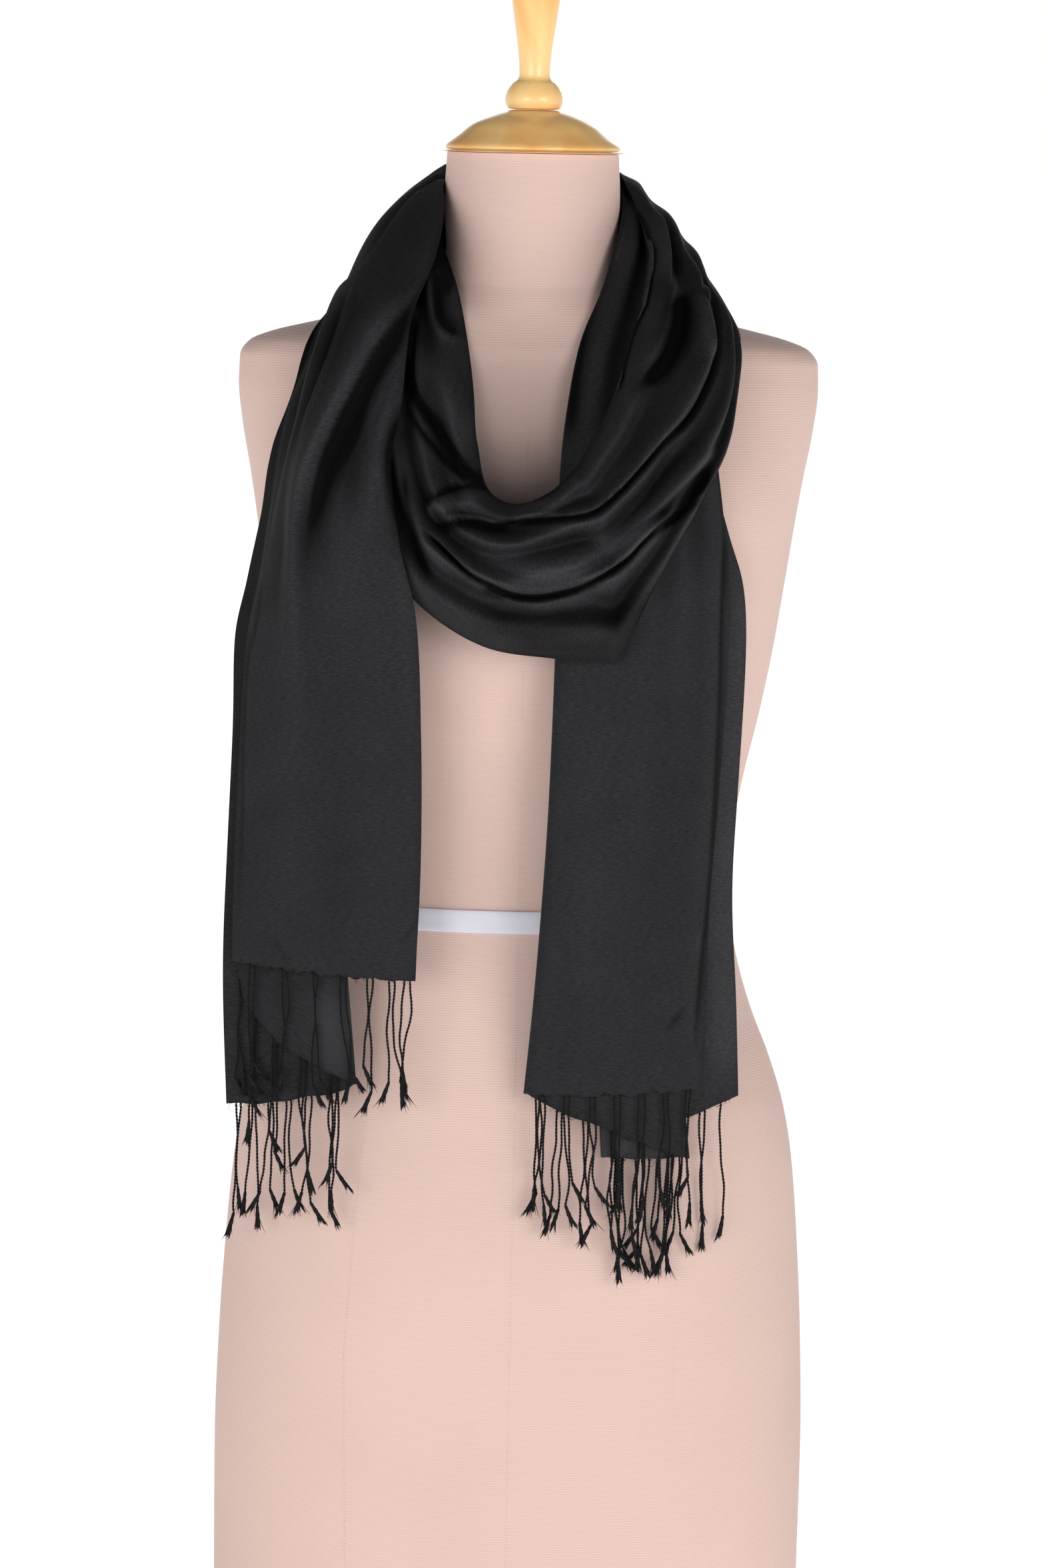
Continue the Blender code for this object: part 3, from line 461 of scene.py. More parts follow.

# Creases seen from the front, on each stretch, with their painted shade and light: the shape across, how
# strong that is, how wide, the share of the path over which it fades in and out, and the path in the
# picture's pixels
Crease = namedtuple("Crease", "across strength width fade_in fade_out path")
CREASES = {
    "fall_left": [
        # The last end: its front edge, the fold beside it, the long ridge and the trough at its foot
        Crease("step", 1.0, 0.9, 0.02, 0.45, (
            (667, 266), (634, 288), (606, 318), (578, 360), (548, 406), (512, 440), (489, 492), (466, 557),
            (448, 622), (430, 690), (412, 775), (400, 850), (388, 930))),
        Crease("line", 0.5, 0.8, 0.2, 0.3, (
            (400, 850), (386, 930), (370, 1010), (365, 1150), (362, 1300), (360, 1450))),
        Crease("small_overlap", 0.5, 0.7, 0.25, 0.3, (
            (545, 415), (522, 478), (502, 530), (479, 587), (462, 632), (450, 690))),
        Crease("flank", 1.2, 0.95, 0.2, 0.3, (
            (630, 425), (592, 485), (560, 536), (529, 598), (505, 650), (485, 700), (466, 775), (456, 850))),
        Crease("dark", 0.35, 3.2, 0.25, 0.3, (
            (590, 440), (540, 530), (500, 620), (465, 720), (450, 820), (445, 900))),
        Crease("dark", 0.5, 1.0, 0.35, 0.4, (
            (560, 590), (540, 640), (528, 690), (522, 740), (512, 800))),
        Crease("dark", 1.2, 0.6, 0.3, 0.4, (
            (606, 600), (594, 645), (586, 690), (592, 740), (604, 800), (620, 850))),
        Crease("ridge", 0.7, 1.2, 0.3, 0.4, (
            (606, 520), (590, 590), (574, 660), (558, 750), (553, 850))),
        Crease("swell", -0.35, 1.0, 0.3, 0.3, (
            (530, 900), (512, 1050), (500, 1200), (505, 1350), (520, 1460))),
        Crease("swell", 0.3, 0.8, 0.3, 0.3, (
            (432, 880), (425, 1000), (430, 1200), (425, 1400))),
        Crease("line", 0.35, 0.9, 0.4, 0.3, ((402, 1395), (420, 1424), (440, 1450))),
        Crease("line", 0.3, 0.9, 0.4, 0.3, ((592, 1418), (610, 1402), (626, 1380))),
    ],
    "loop": [
        # The left leg of the loop
        Crease("trough", 1.4, 0.8, 0.1, 0.12, (
            (616, 460), (613, 500), (613, 566), (630, 606), (655, 640), (680, 680), (708, 713), (728, 727))),
        Crease("trough", 0.9, 0.4, 0.2, 0.15, (
            (606, 600), (632, 646), (660, 682), (682, 703), (700, 722))),
        Crease("small_overlap", 1.1, 0.9, 0.25, 0.3, (
            (650, 398), (647, 420), (648, 450), (654, 480), (672, 500), (702, 511))[::-1]),
        Crease("dark", 1.0, 0.6, 0.1, 0.4, (
            (668, 340), (664, 375), (670, 420), (676, 450))),
        Crease("dark", 0.9, 0.6, 0.1, 0.3, (
            (658, 340), (650, 375), (641, 412), (628, 445), (618, 480))),
        Crease("ridge", 1.1, 1.5, 0.3, 0.3, (
            (632, 500), (648, 550), (672, 600), (700, 650), (714, 690))),
        Crease("ridge", 0.9, 0.8, 0.25, 0.2, (
            (606, 640), (616, 720), (630, 780), (650, 830), (690, 880))),
        Crease("dark", 0.9, 0.5, 0.2, 0.3, (
            (604, 690), (612, 760), (630, 830), (650, 885))),
        # The cowl: the pillow at its left, the two folds that lie over one another, and their ridges
        Crease("ridge", 1.5, 0.9, 0.15, 0.4, (
            (640, 772), (662, 762), (690, 759), (728, 766))),
        Crease("trough", 0.7, 0.5, 0.2, 0.3, (
            (636, 756), (662, 738), (690, 728), (722, 730), (744, 740))),
        Crease("small_overlap", 1.3, 0.6, 0.25, 0.35, (
            (648, 788), (680, 779), (712, 779), (745, 787), (772, 789))),
        Crease("overlap", 1.0, 0.75, 0.12, 0.2, (
            (748, 788), (786, 779), (835, 776), (888, 767), (926, 738), (958, 703), (992, 664), (1027, 626),
            (1051, 580), (1064, 538), (1067, 496), (1060, 450), (1047, 432))),
        Crease("dark", 0.9, 0.3, 0.3, 0.3, ((738, 788), (756, 785), (778, 780))),
        Crease("swell", 2.4, 0.5, 0.25, 0.3, (
            (676, 806), (736, 834), (800, 842), (868, 833), (932, 802), (982, 760),
            (1028, 706), (1070, 640))),
        Crease("bright", 1.4, 0.75, 0.3, 0.3, (
            (690, 820), (740, 845), (800, 855), (860, 849), (915, 826), (960, 790), (1000, 744))),
        Crease("bright", 0.5, 0.35, 0.3, 0.3, (
            (770, 905), (810, 908), (850, 902), (890, 890), (925, 868))),
        Crease("bright", 0.6, 0.4, 0.3, 0.3, (
            (730, 752), (780, 757), (832, 753), (884, 738), (925, 706), (965, 660))),
        Crease("bright", 0.8, 0.6, 0.3, 0.3, (
            (638, 762), (664, 752), (694, 750), (730, 758))),
        Crease("bright", 0.6, 0.6, 0.3, 0.3, (
            (985, 704), (1020, 668), (1050, 630), (1074, 570), (1086, 510))),
        Crease("dark", 0.2, 0.7, 0.3, 0.3, (
            (780, 810), (850, 808), (910, 790), (960, 752), (1000, 708))),
        Crease("sharp_ridge", 0.6, 0.8, 0.3, 0.25, (
            (930, 802), (965, 775), (1000, 746), (1050, 700), (1082, 668))),
        Crease("dark", 1.6, 0.9, 0.3, 0.25, (
            (958, 808), (1000, 768), (1040, 732), (1078, 700))),
        Crease("overlap", 1.1, 0.75, 0.08, 0.2, (
            (630, 788), (660, 815), (682, 836), (709, 860), (740, 876), (772, 889), (807, 892), (842, 886),
            (872, 877), (905, 860), (940, 836), (962, 812), (988, 788), (1028, 760), (1078, 730))),
        Crease("dark", 0.9, 0.4, 0.3, 0.3, ((722, 880), (742, 890), (765, 896))),
        Crease("dark", 0.6, 1.3, 0.2, 0.2, (
            (690, 920), (760, 936), (830, 938), (900, 930), (955, 905), (1000, 850))),
        Crease("dark", 0.4, 1.2, 0.2, 0.3, (
            (740, 958), (820, 972), (900, 974), (940, 940), (980, 880))),
        # The right leg of the loop: the ribbon of its edge, the pockets and the knuckle between them
        Crease("ribbon", 1.3, 0.9, 0.1, 0.2, (
            (948, 316), (962, 336), (974, 370), (975, 400), (968, 446), (958, 470), (944, 500), (934, 538),
            (928, 572), (924, 592))),
        Crease("trough", 1.3, 0.45, 0.2, 0.3, (
            (955, 320), (962, 345), (964, 372), (958, 410))),
        Crease("ridge", 0.9, 0.9, 0.2, 0.4, (
            (972, 300), (990, 335), (998, 385), (994, 440), (980, 500))),
        Crease("trough", 1.2, 0.5, 0.2, 0.3, (
            (992, 306), (1006, 342), (1013, 388), (1015, 434))),
        Crease("dark", 0.6, 0.9, 0.3, 0.3, (
            (982, 400), (1000, 440), (1004, 490), (990, 540))),
        Crease("trough", 1.6, 1.0, 0.15, 0.4, (
            (1022, 432), (1028, 470), (1022, 505), (1002, 540), (972, 570), (940, 610))),
        Crease("sharp_ridge", 0.7, 0.7, 0.2, 0.3, (
            (1062, 545), (1056, 500), (1050, 455), (1038, 436))),
        Crease("line", 1.2, 0.9, 0.3, 0.3, ((1048, 388), (1058, 412), (1061, 440))),
        Crease("swell", -0.9, 0.6, 0.3, 0.3, (
            (905, 470), (890, 540), (875, 610), (868, 680))),
    ],
    "fall_right": [
        # The first end: the narrow band along its edge, and its soft waves
        Crease("dark", 0.8, 0.8, 0.1, 0.3, ((880, 440), (868, 520), (860, 600), (852, 690))),
        Crease("line", 1.0, 1.0, 0.15, 0.15, (
            (1088, 770), (1084, 900), (1078, 1100), (1068, 1300), (1052, 1460), (1042, 1600))),
        Crease("swell", -0.4, 0.8, 0.3, 0.3, (
            (1010, 960), (1012, 1100), (1008, 1250), (1000, 1400), (990, 1560))),
        Crease("swell", 0.3, 1.0, 0.3, 0.3, (
            (880, 1000), (885, 1150), (880, 1350), (870, 1560))),
        Crease("line", 0.6, 0.9, 0.4, 0.4, ((996, 1550), (1013, 1530), (1033, 1508))),
    ],
}

# Where the cloth is a single layer and shows lighter, in the picture's pixels
Lighter = namedtuple("Lighter", "stretch layer x y half_wide half_high share")
LIGHTER = [
    Lighter("fall_left", 1, 505, 1545, 38, 70, 0.45),
    Lighter("fall_right", 2, 940, 1720, 60, 40, 0.5),
]


def curve_weights(count, places):
    """Weights that draw a smooth curve through evenly spaced values, one row for each place."""
    last = count - 1
    scaled = np.clip(places, 0, 1) * last
    index = np.minimum(scaled.astype(int), last - 1)
    part = scaled - index
    square, cube = part ** 2, part ** 3
    parts = ((-1, -(cube - 2 * square + part) / 2),
             (0, 2 * cube - 3 * square + 1 - (cube - square) / 2),
             (1, -2 * cube + 3 * square + (cube - 2 * square + part) / 2),
             (2, (cube - square) / 2))
    weights = np.zeros((len(places), count))
    rows = np.arange(len(places))
    for step, weight in parts:
        spot = index + step
        inside = (spot >= 0) & (spot <= last)
        np.add.at(weights, (rows[inside], spot[inside]), weight[inside])
        low, high = spot < 0, spot > last
        np.add.at(weights, (rows[low], 0), 2 * weight[low])
        np.add.at(weights, (rows[low], 1), -weight[low])
        np.add.at(weights, (rows[high], last), 2 * weight[high])
        np.add.at(weights, (rows[high], last - 1), -weight[high])
    return weights


def carried(values, places, shares):
    """A coarse grid of values, drawn smoothly at the places and shares of a finer one."""
    rows, columns = values.shape
    return curve_weights(rows, places) @ values @ curve_weights(columns, shares).T


def spread_row(row, count):
    """A row of points carried over to another number of columns."""
    return curve_weights(len(row), np.linspace(0, 1, count)) @ row


def eased(share):
    share = np.clip(share, 0, 1)
    return share * share * (3 - 2 * share)


def easing(place, start, end):
    """0 up to the start and 1 from the end on, with a soft run between them."""
    return eased((place - start) / (end - start))


def unit(vectors):
    return vectors / np.maximum(np.linalg.norm(vectors, axis=-1, keepdims=True), 1e-9)


def run_of_sections():
    """All sections in one run from hem to hem, and where each stretch starts and ends in it."""
    tables = {"fall_right": FALL_RIGHT[::-1], "back_inner": BACK_INNER, "loop": LOOP,
              "back_outer": BACK_OUTER, "fall_left": FALL_LEFT}
    run, spans = [], {}
    for name, table in tables.items():
        first = max(len(run) - 1, 0)
        run += table if not run else table[1:]
        spans[name] = (first, len(run) - 1)
    spans["fall_right"] = spans["fall_right"][::-1]
    return np.array(run, float), spans


RUN, SPANS = run_of_sections()


def sections_at(name, places):
    start, end = SPANS[name]
    whole = (start + (end - start) * np.asarray(places, float)) / (len(RUN) - 1)
    return curve_weights(len(RUN), whole) @ RUN


def outward(points):
    """The way off the body at each point."""
    high = np.clip((points[..., 2] - NECK_START) / NECK_BLEND, 0, 1)
    near = np.clip((NECK_REACH - np.abs(points[..., 0])) / NECK_BLEND, 0, 1)
    neck = high * near
    core = np.zeros_like(points)
    core[..., 0] = points[..., 0] * CORE_WIDE * (1 - neck)
    core[..., 2] = np.minimum(points[..., 2], CORE_TOP) * (1 - neck) + points[..., 2] * neck
    return unit(points - core)


def facing(points, ways):
    """The way that a grid of points faces, on the side that its ways off the body are on."""
    slopes = unit(np.cross(np.gradient(points, axis=0), np.gradient(points, axis=1)))
    return slopes * np.sign((slopes * ways).sum(-1))[..., None]


def surface_grid(name, places, shares):
    """A stretch's own shape without its folds, and the ways that its folds stand."""
    rows = sections_at(name, places)
    ahead = sections_at(name, np.asarray(places) + FLOW_STEP)
    behind = sections_at(name, np.asarray(places) - FLOW_STEP)
    inner, outer, crown = rows[:, :3], rows[:, 3:6], rows[:, 6]
    flow = (ahead[:, :3] + ahead[:, 3:6]) - (behind[:, :3] + behind[:, 3:6])
    normal = unit(np.cross(flow, outer - inner))
    shares = np.asarray(shares)[None, :]
    point = inner[:, None] + (outer - inner)[:, None] * shares[..., None]
    beyond = np.where((shares < 0) | (shares > 1), BEYOND_BEND, 1.0)
    bulge = crown[:, None] * 4 * shares * (1 - shares) * beyond
    normals = np.broadcast_to(normal[:, None], point.shape).copy()
    flip = (normals * outward(point)).sum(-1) < 0
    normals[flip] *= -1
    return point + normals * bulge[..., None], normals


def table_relief(name, places, shares):
    """The height of the main folds for each place and share; both are arrays of one shape."""
    lines, swells = FOLDS[name]
    weights = curve_weights(5, places.ravel())
    marks = [np.zeros(places.size)]
    marks += [weights @ np.array(line, float) for line in lines]
    marks.append(np.ones(places.size))
    across = shares.ravel()
    relief = np.zeros(places.size)
    for index, swell in enumerate(swells):
        low, high = marks[index], marks[index + 1]
        crest = swell.crest_start + (swell.crest_end - swell.crest_start) * eased(places.ravel())
        inside = (across - low) / (high - low)
        rise = np.where(inside < crest, inside / crest, (1 - inside) / (1 - crest))
        own = (weights @ np.array(swell[:5], float)) * (0.5 - 0.5 * np.cos(np.pi * rise))
        relief += np.where((inside >= 0) & (inside <= 1), own, 0)
    return relief.reshape(places.shape)


def tree_of(name, side=0):
    """One of the part's solids, for rays to meet; a side takes only its faces left or right."""
    mesh = NODES[name].data
    corners = [vertex.co for vertex in mesh.vertices]
    faces = [tuple(face.vertices) for face in mesh.polygons
             if side == 0 or face.center.x * side > 0]
    return BVHTree.FromPolygons(corners, faces)


def push_off(point, way, beneath, clearance):
    """How far a point moves along its way to lie clear of all that is beneath it."""
    push = 0.0
    point, way = Vector(point) * MM, Vector(way)
    start = point + way * RAY_REACH
    for tree in beneath:
        hit, slope = tree.ray_cast(start, -way, RAY_REACH + RAY_DEPTH)[:2]
        if hit is not None:
            turned_to_way = clearance / max(abs(slope.dot(way)), STEEPEST)
            push = max(push, (hit - point).dot(way) / MM + turned_to_way)
    return push


def needed_pushes(points, beneath, clearances, seams):
    """How far each point has to move for it and the middles beside it to lie clear."""
    rows, columns = points.shape[:2]
    ways = outward(points)
    needed = np.zeros((rows, columns))
    for spot in np.ndindex(rows, columns):
        needed[spot] = push_off(points[spot], ways[spot], beneath, clearances[spot[0]])
    for row, column in np.ndindex(rows, columns):
        for ahead, aside in ((0, 1), (1, 0), (1, 1), (1, -1)):
            other = (row + ahead, column + aside)
            if other[0] >= rows or not 0 <= other[1] < columns:
                continue
            middle = (points[row, column] + points[other]) / 2
            push = push_off(middle, outward(middle), beneath, clearances[row])
            for spot in ((row, column), other):
                if spot[0] not in seams:
                    needed[spot] = max(needed[spot], push)
    return needed


def neighbours_mean(values):
    total, count = (padded[:-2, 1:-1] + padded[2:, 1:-1] + padded[1:-1, :-2] + padded[1:-1, 2:]
                    for padded in (np.pad(values, 1), np.pad(np.ones_like(values), 1)))
    return total / count


def lay_over(points, beneath, clearances, seams):
    """How far each point of a grid moves to lie clear of what is beneath it."""
    needed = needed_pushes(points, beneath, clearances, seams)
    share = np.full_like(needed, SPREAD_SHARE)
    share[list(seams)] = 0.0
    pushes = needed
    for _ in range(SPREAD_STEPS):
        pushes = np.maximum(needed, share * neighbours_mean(pushes))
    return pushes


def folded(points, ways, pushes, normals, relief):
    """Points pushed off what is beneath, with their folds; a push takes some of a fold's height."""
    along = (normals * ways).sum(-1)
    left = np.maximum(pushes - FOLDS_PRESSED * relief * along, 0)
    kept = np.maximum(left, pushes * (1 - FOLDS_PRESSED))
    return points + ways * kept[..., None] + normals * relief[..., None]


def camera_axes():
    ahead = Vector((0, math.cos(PITCH), -math.sin(PITCH)))
    up = Vector((0, math.sin(PITCH), math.cos(PITCH)))
    right = Vector((1, 0, 0))
    tilted_right = right * math.cos(ROLL) + up * math.sin(ROLL)
    tilted_up = up * math.cos(ROLL) - right * math.sin(ROLL)
    return tilted_right, tilted_up, ahead


def in_picture(points):
    """Where points, in millimetres, are seen in the picture, in its pixels."""
    right, up, ahead = (np.array(axis) for axis in camera_axes())
    away = points * MM - np.array(CAMERA_PLACE)
    depth = away @ ahead
    across = PICTURE_WIDE / 2 + FOCAL_PIXELS * (away @ right) / depth
    down = PICTURE_HIGH / 2 - FOCAL_PIXELS * (away @ up) / depth
    return across, down


def beside_line(line, x, y):
    """How far points are from a line, above nothing on its right, and how far along it they are."""
    best = np.full(x.shape, 1e9)
    side, share = np.zeros(x.shape), np.zeros(x.shape)
    for index, (start, end) in enumerate(zip(line, line[1:])):
        step = end - start
        along = np.clip(((x - start[0]) * step[0] + (y - start[1]) * step[1]) / (step @ step), 0, 1)
        dx, dy = x - start[0] - along * step[0], y - start[1] - along * step[1]
        distance = np.hypot(dx, dy)
        closer = distance < best
        best = np.where(closer, distance, best)
        side = np.where(closer, np.sign(step[0] * dy - step[1] * dx), side)
        share = np.where(closer, (index + along) / (len(line) - 1), share)
    return best * side, share


def crease_relief(name, points):
    """The height and the painted shade, painted light where below nought, that the creases seen from the
    front add at each point.
    """
    across, down = in_picture(points)
    total, shaded = np.zeros(across.shape), np.zeros(across.shape)
    for crease in CREASES[name]:
        shape = ACROSS[crease.across]
        line = spread_row(np.array(crease.path, float), PATH_SAMPLES)
        reach = crease.width * max(-shape.places[0], shape.places[-1]) + PATH_MARGIN
        (left, top), (right, bottom) = line.min(axis=0) - reach, line.max(axis=0) + reach
        near = (across > left) & (across < right) & (down > top) & (down < bottom)
        away, share = beside_line(line, across[near], down[near])
        spot = away / crease.width
        strength = crease.strength * eased(share / crease.fade_in) * eased((1 - share) / crease.fade_out)
        total[near] += strength * np.interp(spot, shape.places, shape.heights, left=0, right=0)
        shaded[near] += strength * np.interp(spot, shape.places, shape.shades, left=0, right=0)
    return total, shaded


def lighter_share(name, points, layers):
    """How much lighter the cloth is at each point, where it is a single layer."""
    across, down = in_picture(points)
    total = np.zeros(across.shape)
    for spot in LIGHTER:
        if spot.stretch == name:
            x, y = (across - spot.x) / spot.half_wide, (down - spot.y) / spot.half_high
            inside = np.exp(-x ** 4 - y ** 4)
            total = np.maximum(total, np.where(layers == spot.layer, spot.share * inside, 0))
    return total


def blurred(values, passes):
    for _ in range(passes):
        padded = np.pad(values, 1, mode="edge")
        values = (padded[1:-1, 1:-1] * 2 + padded[:-2, 1:-1] + padded[2:, 1:-1]
                  + padded[1:-1, :-2] + padded[1:-1, 2:]) / 6
    return values


def small_noise(points, scale, seed):
    """A smooth wobble in space, between about -1 and 1, from a few crossed waves."""
    chance = random.Random(seed)
    total = np.zeros(points.shape[:-1])
    for _ in range(NOISE_WAVES):
        way = np.array([chance.gauss(0, 1) for _ in range(3)])
        total += np.sin(points @ way / scale + chance.uniform(0, FULL_TURN))
    return total / NOISE_HIGH


def finished_relief(name, places, shares, points, ways, pushes, normals):
    """The main folds and the creases together, never below the cloth's lowest lie, and the painted shade."""
    relief = table_relief(name, places, shares)
    for fade in FADES.get(name, ()):
        relief = relief * (1 - fade.lost * easing(places, fade.start, fade.end))
    ends = eased(places / END_EASE) * (eased((1 - places) / END_EASE) if name == "loop" else 1)
    edges = eased(shares / EDGE_EASE) * eased((1 - shares) / EDGE_EASE)
    relief = relief + RAISED.get(name, 0.0) * ends * edges
    if name not in CREASES:
        return relief, np.zeros(relief.shape)
    added, shaded = crease_relief(name, folded(points, ways, pushes, normals, relief))
    fade = eased((1 - places) / CREASE_EASE) if name == "loop" else 1.0
    wobble = sum(wave.height * small_noise(points, wave.scale, wave.seed) for wave in WOBBLES)
    wobble = wobble * eased(places / WOBBLE_EASE)
    return np.maximum(relief + (added + wobble) * fade, 0.0), shaded * fade


def stretch_points(name, clear, beneath):
    """A stretch of a single layer on a fine grid, with its relief and painted shade.

    clear is how far it lies off what is beneath it: at its start, along it and at its end."""
    size = TURNS[name]
    places = np.linspace(0, 1, size.coarse_rows + 1)
    coarse, _ = surface_grid(name, places, np.linspace(0, 1, size.coarse_columns + 1))
    clearances = (clear[0] + (clear[1] - clear[0]) * eased(places / CLEAR_EASE)
                  + (clear[2] - clear[1]) * eased((places - 1 + CLEAR_EASE) / CLEAR_EASE))
    pushes = blurred(lay_over(coarse, beneath, clearances, (0, size.coarse_rows)), LOOP_LAY_BLUR)
    places, shares = np.linspace(0, 1, size.rows + 1), np.linspace(0, 1, size.columns + 1)
    points, normals = surface_grid(name, places, shares)
    pushes = np.maximum(carried(pushes, places, shares), 0)
    place_grid, share_grid = np.meshgrid(places, shares, indexing="ij")
    ways = outward(points)
    relief, shade = finished_relief(name, place_grid, share_grid, points, ways, pushes, normals)
    return folded(points, ways, pushes, normals, relief), relief, shade


def meet(row, block):
    """Draws the first rows of a block onto a row of the one that it meets."""
    apart = spread_row(row, block.shape[1]) - block[0]
    for number in range(SEAM_ROWS):
        block[number] += apart * (1 - number / SEAM_ROWS) ** 2


def fall_gap(place):
    return FALL_GAP_TOP + (FALL_GAP - FALL_GAP_TOP) * eased(place / GAP_EASE)


def layer_step(place):
    return LAYER_STEP_TOP + (LAYER_STEP - LAYER_STEP_TOP) * eased(place / GAP_EASE)


def place_at_height(name, z):
    """How far along a hanging end its inner edge is down to a height."""
    low, high = HEM_SEARCH
    for _ in range(SEARCH_STEPS):
        middle = (low + high) / 2
        if sections_at(name, [middle])[0, 2] > z:
            low = middle
        else:
            high = middle
    return (low + high) / 2


def layer_columns(name, place):
    """Across all layers: the share, the layers in front, the layer, and the share of that layer."""
    columns = []
    start = START_SHARE[name]
    weights = curve_weights(5, np.array([place]))[0]
    for number, layer in enumerate(LAYERS[name]):
        end = float(weights @ np.array(layer[:5], float))
        for step in range(layer.columns + 1):
            part = step / layer.columns
            columns.append((start + (end - start) * part, number, number, part))
        if number < len(LAYERS[name]) - 1:
            turn = math.copysign(TURN_BULGE / FALL_WIDE, end - start)
            for angle in TURN_ANGLES:
                reach = turn * math.sin(math.radians(angle))
                deep = number + 0.5 - 0.5 * math.cos(math.radians(angle))
                columns.append((end + reach, deep, number, 1.0))
        start = end
    return np.array(columns)


def hem_places(name, across):
    """How far along a hanging end each of its columns runs before its hem."""
    hems = [HEM_START[name]] + [layer.hem_z for layer in LAYERS[name]]
    lows = []
    for column, (number, part) in enumerate(across[:, 2:]):
        number = int(number)
        fallen = part ** LAYERS[name][number].hem_bend
        uneven = math.sin(HEM_LONG * column + number) + HEM_SHARE * math.sin(HEM_SHORT * column)
        level = hems[number] + (hems[number + 1] - hems[number]) * fallen
        lows.append(place_at_height(name, level + HEM_WAVE * uneven * 4 * part * (1 - part)))
    return np.array(lows)


def layer_grid(name):
    """The share, the layers in front and the place of each point of a hanging end, and its columns."""
    split = place_at_height(name, FALL_SPLIT)
    lows = hem_places(name, layer_columns(name, 0.0))
    rows = []
    for row in range(FALL_ROWS + 1):
        down = row / FALL_ROWS
        across = layer_columns(name, down)
        lower = split + (down - split) * (lows - split) / (1 - split)
        rows.append(np.column_stack([across[:, :2], np.where(down < split, down, lower)]))
    return np.moveaxis(np.array(rows), -1, 0), across


def laid_fields(name, beneath):
    """A hanging end's front on a dense grid: its points, ways off the body, pushes and normals."""
    places = np.linspace(0, 1, PROFILE_ROWS + 1)
    coarse, _ = surface_grid(name, places, np.linspace(0, PROFILE_REACH, PROFILE_COLUMNS + 1))
    clearances = fall_gap(places) + (len(LAYERS[name]) - 1) * layer_step(places)
    pushes = blurred(lay_over(coarse, beneath, clearances, (0,)), LAY_BLUR)
    places = np.linspace(0, 1, DENSE_ROWS + 1)
    shares = np.linspace(0, PROFILE_REACH, DENSE_COLUMNS + 1)
    points, normals = surface_grid(name, places, shares)
    pushes = np.maximum(carried(pushes, places, shares / PROFILE_REACH), 0)[..., None]
    ways = outward(points)
    return np.concatenate([points, ways, pushes, normals, facing(points + ways * pushes, ways)], axis=-1)


def mixed_at(fields, share, place):
    """The fields at each share and place, mixed from the dense grid, and the row each comes from."""
    r = np.clip(place, 0, 1) * DENSE_ROWS
    c = np.clip(share / PROFILE_REACH, 0, 1) * DENSE_COLUMNS
    row, column = np.minimum(r.astype(int), DENSE_ROWS - 1), np.minimum(c.astype(int), DENSE_COLUMNS - 1)
    down, aside = (r - row)[..., None], (c - column)[..., None]
    upper = fields[row, column] * (1 - aside) + fields[row, column + 1] * aside
    lower = fields[row + 1, column] * (1 - aside) + fields[row + 1, column + 1] * aside
    return upper * (1 - down) + lower * down, row


def behind_shade(name, place):
    """The painted shade of the layers behind the front one, painted light where below nought, which is
    nothing at their hems.
    """
    high, low = BEHIND_SHADES[name]
    return (high + (low - high) * easing(place, *BEHIND_CHANGE)) * (1 - easing(place, *BEHIND_END))


def fall_points(name, beneath):
    """A hanging end with all its layers on a fine grid, its relief and painted shade, and its columns."""
    fields = laid_fields(name, beneath)
    (share, depth, place), across = layer_grid(name)
    mixed, row = mixed_at(fields, share, place)
    base, way, push = mixed[..., :3], unit(mixed[..., 3:6]), mixed[..., 6]
    normal, off = unit(mixed[..., 7:10]), unit(mixed[..., 10:13])
    front = depth < FRONT_DEPTH
    relief, shade = finished_relief(name, place, np.clip(share, 0, 1), base, way, push, normal)
    relief, shade = np.where(front, relief, 0.0), np.where(front, shade, behind_shade(name, place))
    placed = folded(base, way, push, normal, relief)
    edge = (fields[row, 0, :3] - fields[row, 1, :3]) * (DENSE_COLUMNS / PROFILE_REACH)
    placed = placed + edge * np.maximum(-share, 0)[..., None]
    if START_SHARE[name] == 0:
        loose = (1 - eased(share / SETTLE_SHARE)) * (1 - eased(place / SETTLE_PLACE))
        depth = depth + (len(LAYERS[name]) - 1) * loose * front
    return (placed - off * (depth * layer_step(place))[..., None], relief, shade), across


def new_object(name, data):
    made = bpy.data.objects.new(name, data)
    bpy.context.scene.collection.objects.link(made)
    return made


def hollow_shade(points, relief, shade):
    """The painted shade of the cloth, painted light where below nought: deep among its folds, out of the
    light, and where it faces up.
    """
    near, wide = blurred(relief, NEAR_BLUR), blurred(relief, WIDE_BLUR)
    upward = UPWARD_SHADE * np.clip(facing(points, outward(points))[..., 2], 0, UPWARD_MOST)
    return np.clip(NEAR_SHADE * (near - relief) + WIDE_SHADE * (wide - relief) + shade + upward, -1, 1)


def run_of(points, axis):
    """How far along the cloth each row or column of its grid lies."""
    steps = np.linalg.norm(np.diff(points, axis=axis), axis=-1)
    return np.concatenate([[0.0], np.cumsum(steps, axis=axis).mean(axis=1 - axis)])


